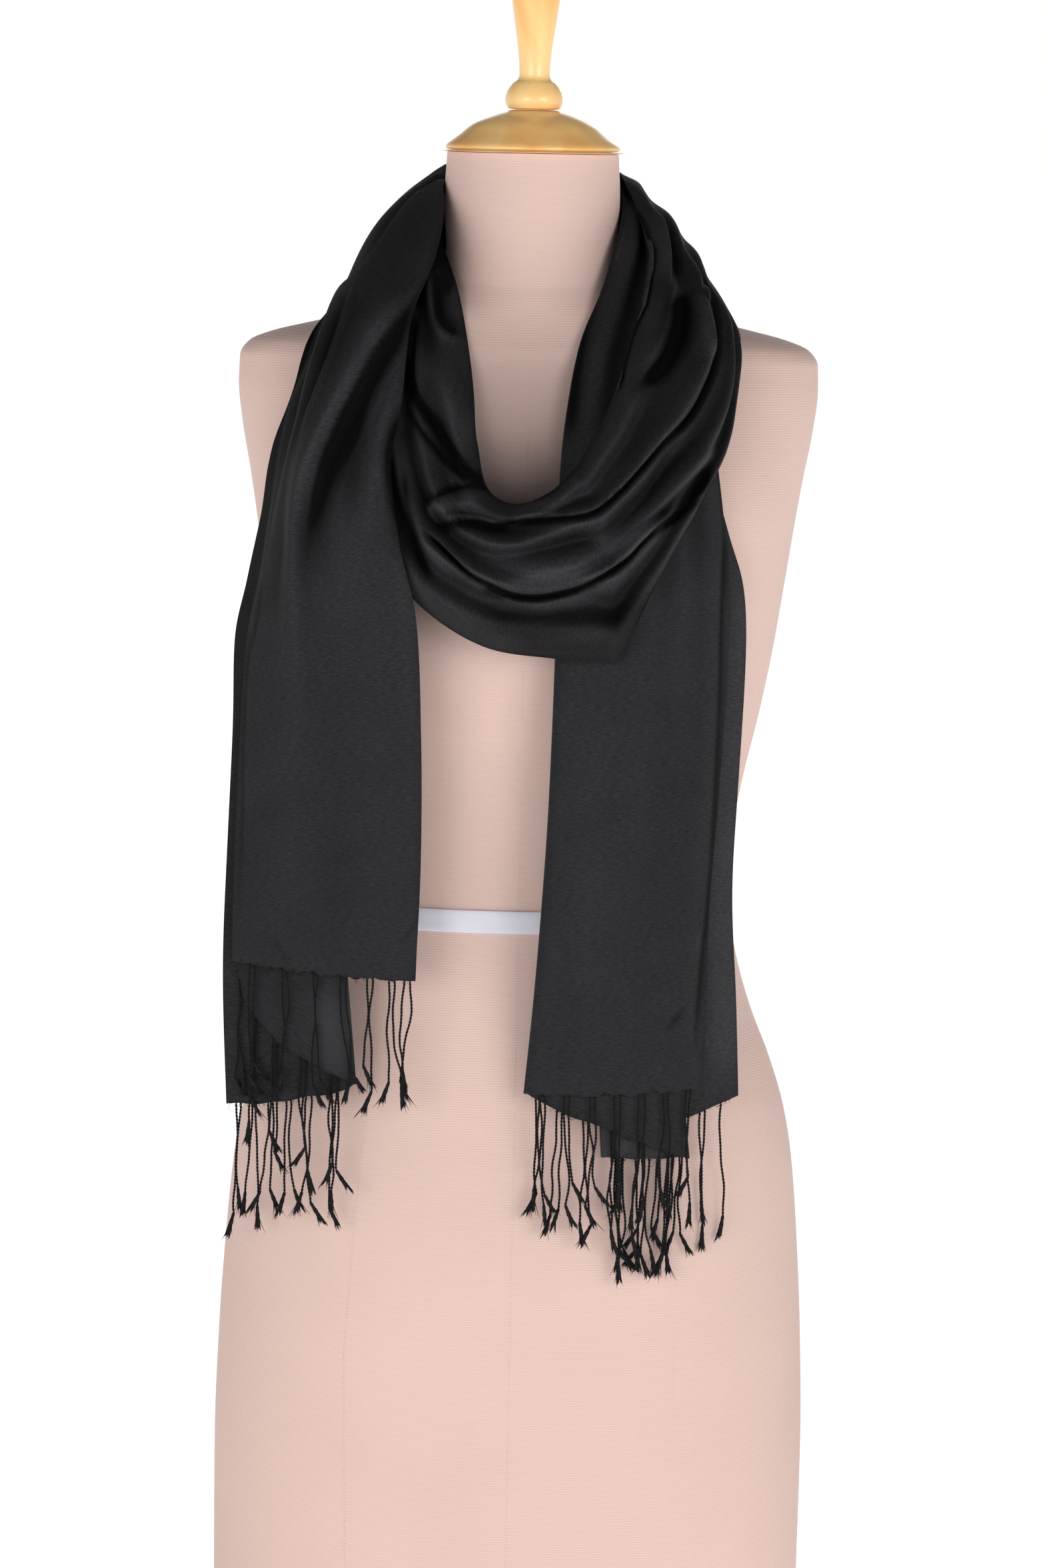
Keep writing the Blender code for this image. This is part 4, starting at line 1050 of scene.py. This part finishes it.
def cloth_piece(stretch, points, relief, shade, sheer, look):
    """A sheet of cloth on a grid of points, with its painted shade and light and how thin it is at each."""
    mesh = bpy.data.meshes.new("shawl_" + stretch)
    build = bmesh.new()
    # The painted shade and painted light of the cloth, kept at each of its corners
    painted_cloth_shade = build.verts.layers.float.new("painted_cloth_shade")
    thin = build.verts.layers.float.new("thin")
    unfolded = build.loops.layers.uv.new("cloth")
    rows, columns = points.shape[:2]
    deep = hollow_shade(points, relief, shade)
    along, across = run_of(points, 0) * UV_SCALE, run_of(points, 1) * UV_SCALE
    corners = {}
    for spot in np.ndindex(rows, columns):
        corners[spot] = build.verts.new(points[spot] * MM)
        corners[spot][painted_cloth_shade] = float(deep[spot])
        corners[spot][thin] = float(sheer[spot])
    for r, c in np.ndindex(rows - 1, columns - 1):
        spots = ((r, c), (r, c + 1), (r + 1, c + 1), (r + 1, c))
        face = build.faces.new([corners[spot] for spot in spots])
        face.smooth = True
        for loop, (i, j) in zip(face.loops, spots):
            loop[unfolded].uv = (across[j], along[i])
    build.to_mesh(mesh)
    build.free()
    mesh.materials.append(look)
    made = new_object("shawl_" + stretch, mesh)
    wall = made.modifiers.new("Wall", "SOLIDIFY")
    wall.thickness = CLOTH_THICK * MM
    wall.offset = 0.0
    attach(made, "root")
    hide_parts(stretch)
    return made


def hem_of(points, across, number):
    """The last row's points of one layer, without the turns to its neighbours."""
    own = (across[:, 2] == number) & (across[:, 1] % 1 == 0)
    return points[-1, own]


def ring_faces(rows, columns, closed=False):
    """The faces between rings of points, the last joined to the first or each end shut by a face."""
    faces = []
    for row in range(rows if closed else rows - 1):
        own, after = row * columns, (row + 1) % rows * columns
        for column in range(columns):
            beside = (column + 1) % columns
            faces.append((own + column, own + beside, after + beside, after + column))
    if not closed:
        faces.append(tuple(range(columns - 1, -1, -1)))
        faces.append(tuple(range((rows - 1) * columns, rows * columns)))
    return faces


def tube_rings(centres, radii, sides):
    """Vertices and faces of a closed tube through centres, with its frame carried along."""
    ways = unit(np.gradient(centres, axis=0))
    side = unit(np.cross(ways[0], [0.3, 1, 0.2]))
    angles = np.arange(sides) * 2 * math.pi / sides
    vertices = []
    for centre, way, radius in zip(centres, ways, radii):
        side = unit(side - way * (side @ way))
        other = np.cross(way, side)
        vertices += [centre + (side * math.cos(angle) + other * math.sin(angle)) * radius for angle in angles]
    return vertices, ring_faces(len(centres), sides)


def mesh_piece(name, parts, look, nodes=()):
    """One object from several parts, each a list of points and one of faces."""
    vertices, faces = [], []
    for own, own_faces in parts:
        first = len(vertices)
        vertices += own
        faces += [tuple(index + first for index in face) for face in own_faces]
    mesh = bpy.data.meshes.new(name)
    mesh.from_pydata([tuple(vertex * MM) for vertex in vertices], [], faces)
    mesh.shade_smooth()
    mesh.materials.append(look)
    made = new_object(name, mesh)
    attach(made, "root")
    if nodes:
        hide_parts(*nodes)
    return made


def along_hem(line, distance):
    """The point at a distance along a hem, and the way that the hem runs there."""
    for start, end in zip(line, line[1:]):
        length = np.linalg.norm(end - start)
        if distance <= length:
            return start + (end - start) * distance / length, unit(end - start)
        distance -= length
    return line[-1], unit(line[-1] - line[-2])


def cord_parts(root, flat, lean, meet, length, chance):
    """One cord of two plies twisted round each other, and the tassel at its end."""
    count = max(int((length - TASSEL) / CORD_RING), FEWEST_RINGS)
    down = np.linspace(0, length - TASSEL, count)
    share = down / length
    phase = chance.uniform(0, FULL_TURN)
    long, short = chance.uniform(*LONG_WAVE), chance.uniform(*SHORT_WAVE)
    sway = chance.uniform(*LONG_SWAY) * np.sin(down / long + phase)
    sway = sway + chance.uniform(*SHORT_SWAY) * np.sin(down / short + 2 * phase)
    side = meet * share ** 1.4 + sway * share ** 0.5
    out = OUT_SWAY * np.sin(down / OUT_WAVE + phase * 1.7) * share
    centre = root + flat * side[:, None]
    centre[:, 2] -= down
    centre[:, 1] -= down * lean + out
    turn = 2 * math.pi * down / CORD_PITCH + phase
    parts = []
    for ply in (0, math.pi):
        twist = np.column_stack([np.cos(turn + ply), np.sin(turn + ply), np.zeros(count)]) * CORD_HALF
        parts.append(tube_rings(centre + twist, np.full(count, PLY), PLY_SIDES))
    return parts + tassel_parts(centre[-1], chance)


def tassel_parts(end, chance):
    """A tassel: bound at its top, then parted into tongues with loose fibres round them."""
    bend = unit(np.array([chance.uniform(-0.7, 0.7), chance.uniform(-0.2, 0.1), -1.0]))
    bound = np.linspace(0, BOUND_PART, len(BOUND_RADII))
    parts = [tube_rings(end + bend * (bound * TASSEL)[:, None], BOUND_RADII, 7)]
    tongues = chance.choice(TONGUES)
    first = chance.uniform(0, FULL_TURN)
    for number in range(tongues):
        angle = first + number * 2 * math.pi / tongues
        aside = np.array([math.cos(angle), math.sin(angle), 1]) * TONGUE_ASIDE
        reach = np.linspace(0.35, chance.uniform(*TONGUE_REACH), len(TONGUE_RADII))
        tongue = end + (bend * reach[:, None] + aside * ((reach - 0.3) ** 1.5)[:, None]) * TASSEL
        parts.append(tube_rings(tongue, TONGUE_RADII, 6))
    for _ in range(FIBRES):
        aside = np.array([chance.uniform(-0.22, 0.22), chance.uniform(-0.16, 0.12), 0])
        reach = np.linspace(0.3, chance.uniform(*FIBRE_REACH), len(FIBRE_RADII))
        fibre = end + (bend * reach[:, None] + aside * (reach ** 2)[:, None]) * TASSEL
        parts.append(tube_rings(fibre, FIBRE_RADII, 3))
    return parts


def loose_thread(root, flat, long, chance):
    """A thin curled thread that stands out of a hem."""
    steps = np.linspace(0, 1, max(int(long / THREAD_STEP), 4))
    way = unit(flat * chance.uniform(-1, 1) + np.array([0, -0.25, chance.uniform(-1.0, 0.35)]))
    curl = chance.uniform(0.6, 1.4) * chance.choice((-1, 1))
    angle = curl * steps * min(long / 4, 5)
    other = np.cross(way, [0, 1, 0])
    turned = way * np.cos(angle)[:, None] + other * np.sin(angle)[:, None]
    line = root + np.cumsum(turned, axis=0) * long / len(steps)
    return tube_rings(line, np.linspace(*THREAD_RADII, len(steps)), 3)


def fringe_piece(name, hem, lean, layer, look):
    """The cords that hang from one layer's hem, with the loose threads along it."""
    chance = random.Random(name)
    length = np.linalg.norm(np.diff(hem, axis=0), axis=1).sum() - 2 * STRIP_INSET
    pairs = (layer.cords + 1) // 2
    parts = []
    for number in range(layer.cords):
        place = length * ((number // 2 + 0.5) / pairs) ** layer.crowd
        place += PAIR_HALF if number % 2 else -PAIR_HALF
        root, way = along_hem(hem, STRIP_INSET + place)
        flat = unit(np.array([way[0], way[1], 0.0]))
        meet = chance.uniform(-PAIR_LEAN, PAIR_LEAN) * length / pairs
        long = CORD_LENGTH * (1 + chance.uniform(-LENGTH_SPREAD, LENGTH_SPREAD))
        parts += cord_parts(root + CORD_ROOT, flat, lean, meet, long, chance)
    for _ in range(int(length / FUZZ_STEP)):
        root, way = along_hem(hem, STRIP_INSET + chance.uniform(0, length))
        parts.append(loose_thread(root + FUZZ_ROOT, way, chance.uniform(*FUZZ_LONG), chance))
    for _ in range(LONG_THREADS):
        root, way = along_hem(hem, STRIP_INSET + chance.uniform(0, length))
        parts.append(loose_thread(root + THREAD_ROOT, way, chance.uniform(*LONG_THREAD), chance))
    return mesh_piece(name + "_cords", parts, look, (name,))


def form_values(z):
    """The dress form's section at each height, drawn as a smooth curve that never overshoots."""
    levels = np.array(FORM_LEVELS)
    heights = levels[:, 0]
    gaps = np.diff(heights)
    out = []
    for values in levels[:, 1:].T:
        slopes = np.diff(values) / gaps
        tangents = np.zeros(len(values))
        tangents[0], tangents[-1] = slopes[0], slopes[-1]
        both = slopes[:-1] * slopes[1:] > 0
        inner = np.zeros(len(slopes) - 1)
        weight_a, weight_b = 2 * gaps[1:] + gaps[:-1], gaps[1:] + 2 * gaps[:-1]
        safe = np.where(both, slopes[:-1], 1), np.where(both, slopes[1:], 1)
        inner[both] = ((weight_a + weight_b) / (weight_a / safe[0] + weight_b / safe[1]))[both]
        tangents[1:-1] = inner
        index = np.clip(np.searchsorted(heights, z, side="right") - 1, 0, len(gaps) - 1)
        part = (z - heights[index]) / gaps[index]
        square, cube = part ** 2, part ** 3
        out.append((2 * cube - 3 * square + 1) * values[index]
                   + (cube - 2 * square + part) * gaps[index] * tangents[index]
                   + (3 * square - 2 * cube) * values[index + 1]
                   + (cube - square) * gaps[index] * tangents[index + 1])
    return out


def form_points(angle, z, out=0.0):
    """Points on the form at angles round it, from its front, and at heights."""
    half_width, front, back, roundness = form_values(np.asarray(z, float))
    power = 2.0 / roundness
    across, along = np.sin(angle), np.cos(angle)
    depth = np.where(along > 0, front, back)
    x = np.copysign(np.abs(across) ** power, across) * (half_width + out)
    y = -np.copysign(np.abs(along) ** power, along) * (depth + out)
    return np.stack(np.broadcast_arrays(x, y, z), axis=-1)


def shade_front(made):
    """Stores the painted shade of a piece of the form at each of its corners, down its front, painted light
    where below nought.
    """
    points = np.array([vertex.co for vertex in made.data.vertices]) / MM
    shades = np.array(NECK_SHADES, float)
    down = np.interp(points[:, 2], shades[:, 0], shades[:, 1])
    sides = 1 - easing(np.abs(points[:, 0]), *SHADE_SIDES)
    shaded = made.data.attributes.new("shaded", "FLOAT", "POINT")
    shaded.data.foreach_set("value", (down * sides * (points[:, 1] < 0)).astype(np.float32))


def form_piece(look):
    rows = [np.arange(span.low, span.high, span.step) for span in FORM_ROWS]
    heights = np.concatenate([BASE_ROWS, *rows, [NECK_TOP]])
    turns = np.arange(RING_COLUMNS) * 2 * math.pi / RING_COLUMNS
    points = form_points(turns[None, :], heights[:, None])
    vertices = [point for row in points for point in row]
    faces = ring_faces(len(heights), RING_COLUMNS)
    made = mesh_piece("form_cover", [(vertices, faces)], look, ("form_body",))
    shade_front(made)
    made.data.set_sharp_from_angle(angle=math.radians(40))


def side_seam_angle(z):
    """Where the side seam runs round the form at each height."""
    seam = np.array(SIDE_SEAM, float)
    half_width, _, _, roundness = form_values(z)
    return np.arcsin(np.clip(np.interp(z, seam[:, 0], seam[:, 1]) / half_width, 0, 1) ** (roundness / 2))


def stitches_piece(look):
    """The rows of small slanted stitches along the seams of the form."""
    z = np.arange(SEAM_LOW, SEAM_TOP, STITCH_PITCH)
    z = z[(z < TAPE_LOW - STITCH_CLEAR) | (z > TAPE_HIGH + STITCH_CLEAR)]
    side = side_seam_angle(z)
    turns = np.arange(0, 2 * math.pi, STITCH_PITCH / COLLAR_RADIUS)
    lines = [form_points(angle, z, STITCH_OUT)
             for angle in (0 * z, 0 * z + math.pi, side, -side, math.pi - side, math.pi + side)]
    lines.append(form_points(turns, COLLAR_SEAM - COLLAR_DIP * np.cos(turns), STITCH_OUT))
    parts = []
    for line in lines:
        for start, after in zip(line, line[1:]):
            along = after - start
            if np.linalg.norm(along) < 2 * STITCH_PITCH:
                level = unit(np.cross(along, [start[0], start[1], 0]))
                slant = unit(along + level * STITCH_SLANT) * STITCH_LONG
                parts.append(tube_rings(np.array([start, start + slant]), (STITCH_HALF, STITCH_HALF), 4))
    shade_front(mesh_piece("form_stitches", parts, look))


def tape_piece(look):
    """The satin tape round the waist, its edges turned in a little."""
    turns = np.arange(RING_COLUMNS) * 2 * math.pi / RING_COLUMNS
    widest = form_values(np.array([TAPE_LOW, TAPE_HIGH]))[0].max()
    vertices = []
    for share, out in TAPE_PROFILE:
        z = TAPE_LOW + (TAPE_HIGH - TAPE_LOW) * share
        skin = (widest - form_values(np.array([z]))[0][0]) * 0.5
        wave = TAPE_WAVE * np.sin(turns * 3 + share * 2)
        vertices += list(form_points(turns, z, out + skin + wave * (0.1 < share < 0.9)))
    faces = ring_faces(len(TAPE_PROFILE), RING_COLUMNS, closed=True)
    mesh_piece("waist_band", [(vertices, faces)], look, ("waist_tape",))


def turned_piece(name, profile, look, node_name):
    """A turned wooden piece: its half profile smoothed, then spun about Z."""
    profile = np.array(profile, float)
    fine = spread_row(profile, (len(profile) - 1) * TURNED_FINER + 1)
    fine[:, 0] = np.maximum(fine[:, 0], 0)
    turns = np.arange(TURNED_SIDES) * 2 * math.pi / TURNED_SIDES
    vertices, faces = [np.array([0, 0, fine[0, 1]])], []
    for radius, height in fine[1:-1]:
        vertices += [np.array([radius * math.cos(t), radius * math.sin(t), height]) for t in turns]
    vertices.append(np.array([0, 0, fine[-1, 1]]))
    last = len(vertices) - 1
    lowest = last - TURNED_SIDES
    for c in range(TURNED_SIDES):
        d = (c + 1) % TURNED_SIDES
        faces.append((0, 1 + c, 1 + d))
        faces.append((last, lowest + d, lowest + c))
        for own in range(1, lowest, TURNED_SIDES):
            after = own + TURNED_SIDES
            faces.append((own + c, after + c, after + d, own + d))
    made = mesh_piece(name, [(vertices, faces)], look, (node_name,))
    made.data.set_sharp_from_angle(angle=math.radians(50))


def new_material(name, **values):
    """A material, its node tree and its shader, with the shader's own values set."""
    made = bpy.data.materials.new(name)
    made.use_nodes = True
    shader = made.node_tree.nodes["Principled BSDF"]
    for key, value in values.items():
        shader.inputs[key.replace("_", " ")].default_value = value
    return made, made.node_tree, shader


def node(tree, kind, **values):
    """A node with its values set; where a value is another node's output, the two are joined."""
    made = tree.nodes.new(kind)
    for key, value in values.items():
        label = key.replace("_", " ")
        if isinstance(value, bpy.types.NodeSocket):
            tree.links.new(value, made.inputs[label])
        elif label in made.inputs.keys():
            made.inputs[label].default_value = value
        else:
            setattr(made, key, value)
    return made


def object_place(tree):
    return node(tree, "ShaderNodeTexCoord").outputs["Object"]


def mapped(tree, place, **values):
    return node(tree, "ShaderNodeMapping", Vector=place, **values).outputs["Vector"]


def noise(tree, place, **values):
    return node(tree, "ShaderNodeTexNoise", Vector=place, **values).outputs["Fac"]


def waves(tree, place, **values):
    return node(tree, "ShaderNodeTexWave", Vector=place, **values).outputs["Fac"]


def attribute(tree, name):
    return node(tree, "ShaderNodeAttribute", attribute_name=name).outputs["Fac"]


def ramp(tree, share, *stops):
    """A colour that runs from one stop to the next; a stop is its position and its colour."""
    made = node(tree, "ShaderNodeValToRGB", Fac=share)
    for element, (position, colour) in zip(made.color_ramp.elements, stops):
        element.position = position
        element.color = (*colour, 1)
    return made.outputs["Color"]


def ranged(tree, value, low, high, start=0.0):
    """A value that runs from start to 1, carried over to the range from low to high."""
    made = node(tree, "ShaderNodeMapRange", Value=value, From_Min=start, To_Min=low, To_Max=high)
    return made.outputs["Result"]


def scaled(tree, colour, share):
    made = node(tree, "ShaderNodeVectorMath", operation="SCALE", Vector=colour, Scale=share)
    return made.outputs["Vector"]


def added(tree, value, share, other):
    """A share of one value added to another."""
    made = node(tree, "ShaderNodeMath", operation="MULTIPLY_ADD")
    made.inputs[1].default_value = share
    tree.links.new(value, made.inputs[0])
    tree.links.new(other, made.inputs[2])
    return made.outputs["Value"]


def dimmed(tree, colour):
    """A colour with the form's painted shade down its front: darkened in the neckline, made lighter between
    the hanging ends.
    """
    kept = node(tree, "ShaderNodeMath", operation="SUBTRACT")
    kept.inputs[0].default_value = 1.0
    tree.links.new(attribute(tree, "shaded"), kept.inputs[1])
    return scaled(tree, colour, kept.outputs["Value"])


def bump(tree, height, strength, distance, **under):
    made = node(tree, "ShaderNodeBump", Height=height, Strength=strength, Distance=distance, **under)
    return made.outputs["Normal"]


def finish_look(tree, shader, colour, normal=None):
    tree.links.new(colour, shader.inputs["Base Color"])
    if normal:
        tree.links.new(normal, shader.inputs["Normal"])


def cloth_look():
    made, tree, shader = new_material("twill", Roughness=0.65, Sheen_Weight=0.01, Sheen_Roughness=0.4,
                                      Specular_IOR_Level=0.04)
    place = node(tree, "ShaderNodeUVMap", uv_map="cloth").outputs["UV"]
    slanted = mapped(tree, place, Rotation=(0, 0, math.radians(58)))
    twill = waves(tree, slanted, Scale=24.0, Distortion=1.2, Detail=2.0, Detail_Scale=3.0)
    along = mapped(tree, place, Rotation=(0, 0, math.radians(4)), Scale=(24, 140, 1))
    slub = noise(tree, along, Scale=1.0, Detail=4.0, Roughness=0.7)
    cloud = noise(tree, place, Scale=3.0, Detail=4.0)
    colour = ramp(tree, slub, (0.36, (0.0150, 0.0150, 0.0162)), (0.68, (0.0335, 0.0335, 0.036)))
    colour = node(tree, "ShaderNodeMixRGB", Fac=attribute(tree, "thin"), Color1=colour,
                  Color2=(0.056, 0.056, 0.060, 1)).outputs["Color"]
    # Painted shade and painted light: the colour runs from 1.8 times itself where lit most to 0.12 of itself
    # in the deepest shade
    colour = scaled(tree, colour, ranged(tree, attribute(tree, "painted_cloth_shade"), 1.8, 0.12, start=-1.0))
    colour = scaled(tree, colour, ranged(tree, cloud, 0.85, 1.2))
    weave = bump(tree, twill, 0.35, 0.0003)
    finish_look(tree, shader, colour, bump(tree, slub, 0.15, 0.0004, Normal=weave))
    return made


def cord_look():
    made, tree, shader = new_material("cord_yarn", Roughness=0.8, Specular_IOR_Level=0.1)
    fine = noise(tree, object_place(tree), Scale=900.0, Detail=3.0)
    colour = ramp(tree, fine, (0.3, (0.005, 0.005, 0.0055)), (0.75, (0.020, 0.019, 0.020)))
    finish_look(tree, shader, colour, bump(tree, fine, 0.5, 0.0002))
    return made


def form_look():
    made, tree, shader = new_material("ribbed_jersey", Roughness=0.8, Sheen_Weight=0.12,
                                      Sheen_Tint=(1.0, 0.9, 0.85, 1))
    place = object_place(tree)
    ribs = waves(tree, place, Scale=205.0, Distortion=0.6, Detail=2.0, Detail_Scale=0.6, bands_direction="Z")
    knit = added(tree, noise(tree, place, Scale=700.0, Detail=2.0), 0.35, ribs)
    colour = ramp(tree, knit, (0.2, (0.66, 0.468, 0.410)), (0.8148, (0.72, 0.52, 0.455)))
    colour = scaled(tree, colour, ranged(tree, noise(tree, place, Scale=9.0, Detail=3.0), 0.93, 1.05))
    # The jersey's colour with the painted shade and painted light down the form's front
    finish_look(tree, shader, dimmed(tree, colour), bump(tree, knit, 0.2, 0.0003))
    return made


def thread_look():
    made, tree, shader = new_material("seam_thread", Roughness=0.7)
    fine = noise(tree, object_place(tree), Scale=300.0, Detail=2.0)
    colour = ramp(tree, fine, (0.35, (0.72, 0.57, 0.51)), (0.65, (0.86, 0.74, 0.69)))
    # The thread's colour with the same painted shade and painted light
    finish_look(tree, shader, dimmed(tree, colour))
    return made


def wood_look():
    made, tree, shader = new_material("varnished_pine", Roughness=0.28, Coat_Weight=0.35, Coat_Roughness=0.12)
    place = mapped(tree, object_place(tree), Scale=(14, 14, 2.2), Rotation=(0, math.radians(78), 0.3))
    grain = noise(tree, place, Scale=3.0, Detail=6.0, Roughness=0.6, Distortion=0.8)
    rings = waves(tree, place, Scale=1.1, Distortion=4.0, Detail=3.0)
    streaks = added(tree, rings, 0.35, grain)
    colour = ramp(tree, streaks, (0.35, (0.90, 0.43, 0.11)), (0.95, (1.0, 0.68, 0.28)))
    finish_look(tree, shader, colour)
    return made


def tape_look():
    made, tree, shader = new_material("satin_tape", Roughness=0.38, Sheen_Weight=0.3)
    place = object_place(tree)
    weave = waves(tree, place, Scale=260.0, Distortion=0.3, bands_direction="Z")
    tone = noise(tree, place, Scale=18.0, Detail=3.0)
    colour = ramp(tree, tone, (0.3, (0.72, 0.71, 0.80)), (0.7, (0.88, 0.86, 0.94)))
    finish_look(tree, shader, colour, bump(tree, weave, 0.3, 0.0002))
    return made


def make_camera():
    right, up, ahead = camera_axes()
    data = bpy.data.cameras.new("picture_camera")
    data.sensor_fit = "VERTICAL"
    data.sensor_height = SENSOR
    data.lens = FOCAL_PIXELS / PICTURE_HIGH * SENSOR
    data.clip_end = 200
    made = new_object("picture_camera", data)
    turned = Matrix((right, up, -ahead)).transposed().to_4x4()
    turned.translation = CAMERA_PLACE
    made.matrix_world = turned
    bpy.context.scene.camera = made


def make_floor():
    mesh = bpy.data.meshes.new("floor")
    build = bmesh.new()
    bmesh.ops.create_circle(build, cap_ends=True, radius=60, segments=96)
    build.to_mesh(mesh)
    build.free()
    floor = new_object("floor", mesh)
    look = new_material("pale_floor", Base_Color=(0.6, 0.6, 0.6, 1), Roughness=0.9,
                        Emission_Color=(1, 1, 1, 1), Emission_Strength=0.95)[0]
    mesh.materials.append(look)


def make_world():
    """A studio that is bright low down and darker overhead."""
    world = bpy.data.worlds.new("studio")
    bpy.context.scene.world = world
    world.use_nodes = True
    tree = world.node_tree
    place = node(tree, "ShaderNodeTexCoord").outputs["Generated"]
    height = node(tree, "ShaderNodeSeparateXYZ", Vector=place).outputs["Z"]
    colour = ramp(tree, height, (0.10, (1.0, 1.0, 1.0)), (0.42, (0.10, 0.10, 0.105)))
    back = tree.nodes["Background"]
    tree.links.new(colour, back.inputs["Color"])
    back.inputs["Strength"].default_value = 1.0


def make_lights():
    for light in LIGHTS:
        data = bpy.data.lights.new(light.name, "AREA")
        data.shape = "SQUARE"
        data.size = light.size
        data.energy = light.power
        made = new_object(light.name, data)
        made.location = light.place
        made.rotation_mode = "QUATERNION"
        made.rotation_quaternion = (LIGHT_AIM - Vector(light.place)).to_track_quat("-Z", "Y")


def top_stack(name):
    """How deep the layers of a hanging end lie at its top."""
    return FALL_GAP_TOP + LAYER_STEP_TOP * (len(LAYERS[name]) - 1)


def lay_stretches():
    """Each stretch's points, relief and painted shade, and the columns of the hanging ends."""
    form, first_end = tree_of("form_body"), tree_of("fall_right")
    stretches, columns = {}, {}
    stretches["back_inner"] = stretch_points(
        "back_inner", (top_stack("fall_right"), REST_GAP, REST_GAP), [form])
    stretches["loop"] = stretch_points(
        "loop", (REST_GAP, REST_GAP, REST_GAP), [form, first_end, tree_of("back_inner", 1)])
    stretches["back_outer"] = stretch_points(
        "back_outer", (REST_GAP, REST_GAP, top_stack("fall_left")),
        [form, first_end, tree_of("back_inner"), tree_of("loop", -1)])
    stretches["fall_left"], columns["fall_left"] = fall_points(
        "fall_left", [form, tree_of("back_inner"), tree_of("loop")])
    stretches["fall_right"], columns["fall_right"] = fall_points("fall_right", [form])

    loop, outer = stretches["loop"][0], stretches["back_outer"][0]
    meet(stretches["back_inner"][0][-1], loop)
    meet(loop[-1], outer)
    meet(stretches["fall_left"][0][0, :LAYERS["fall_left"][0].columns + 1], outer[::-1])
    return stretches, columns


def fringe_of(name, points, across, look):
    """The cords below each layer of a hanging end."""
    slope = points[-1, 0] - points[-10, 0]
    lean = slope[1] / slope[2]
    side = name.split("_")[1]
    made = []
    for number, layer in enumerate(LAYERS[name]):
        hem = hem_of(points, across, number)
        made.append(fringe_piece("fringe_%s_%d" % (side, number + 1), hem, lean, layer, look))
    return made


def make_shawl():
    stretches, columns = lay_stretches()
    cloth, pieces = cloth_look(), {}
    for name, (points, relief, shade) in stretches.items():
        layers = columns[name][:, 2] if name in columns else np.zeros(points.shape[1])
        sheer = lighter_share(name, points, np.broadcast_to(layers, points.shape[:2]))
        pieces[name] = cloth_piece(name, points, relief, shade, sheer, cloth)
    yarn = cord_look()
    cords = {name: fringe_of(name, stretches[name][0], across, yarn) for name, across in columns.items()}


def make_form():
    form_piece(form_look())
    stitches_piece(thread_look())
    tape_piece(tape_look())
    wood = wood_look()
    turned_piece("wooden_cap", CAP_PROFILE, wood, "neck_cap")
    turned_piece("wooden_handle", HANDLE_PROFILE, wood, "cap_handle")


make_camera()
make_floor()
make_world()
make_lights()
bpy.context.scene.view_settings.view_transform = "Standard"
make_form()
make_shawl()
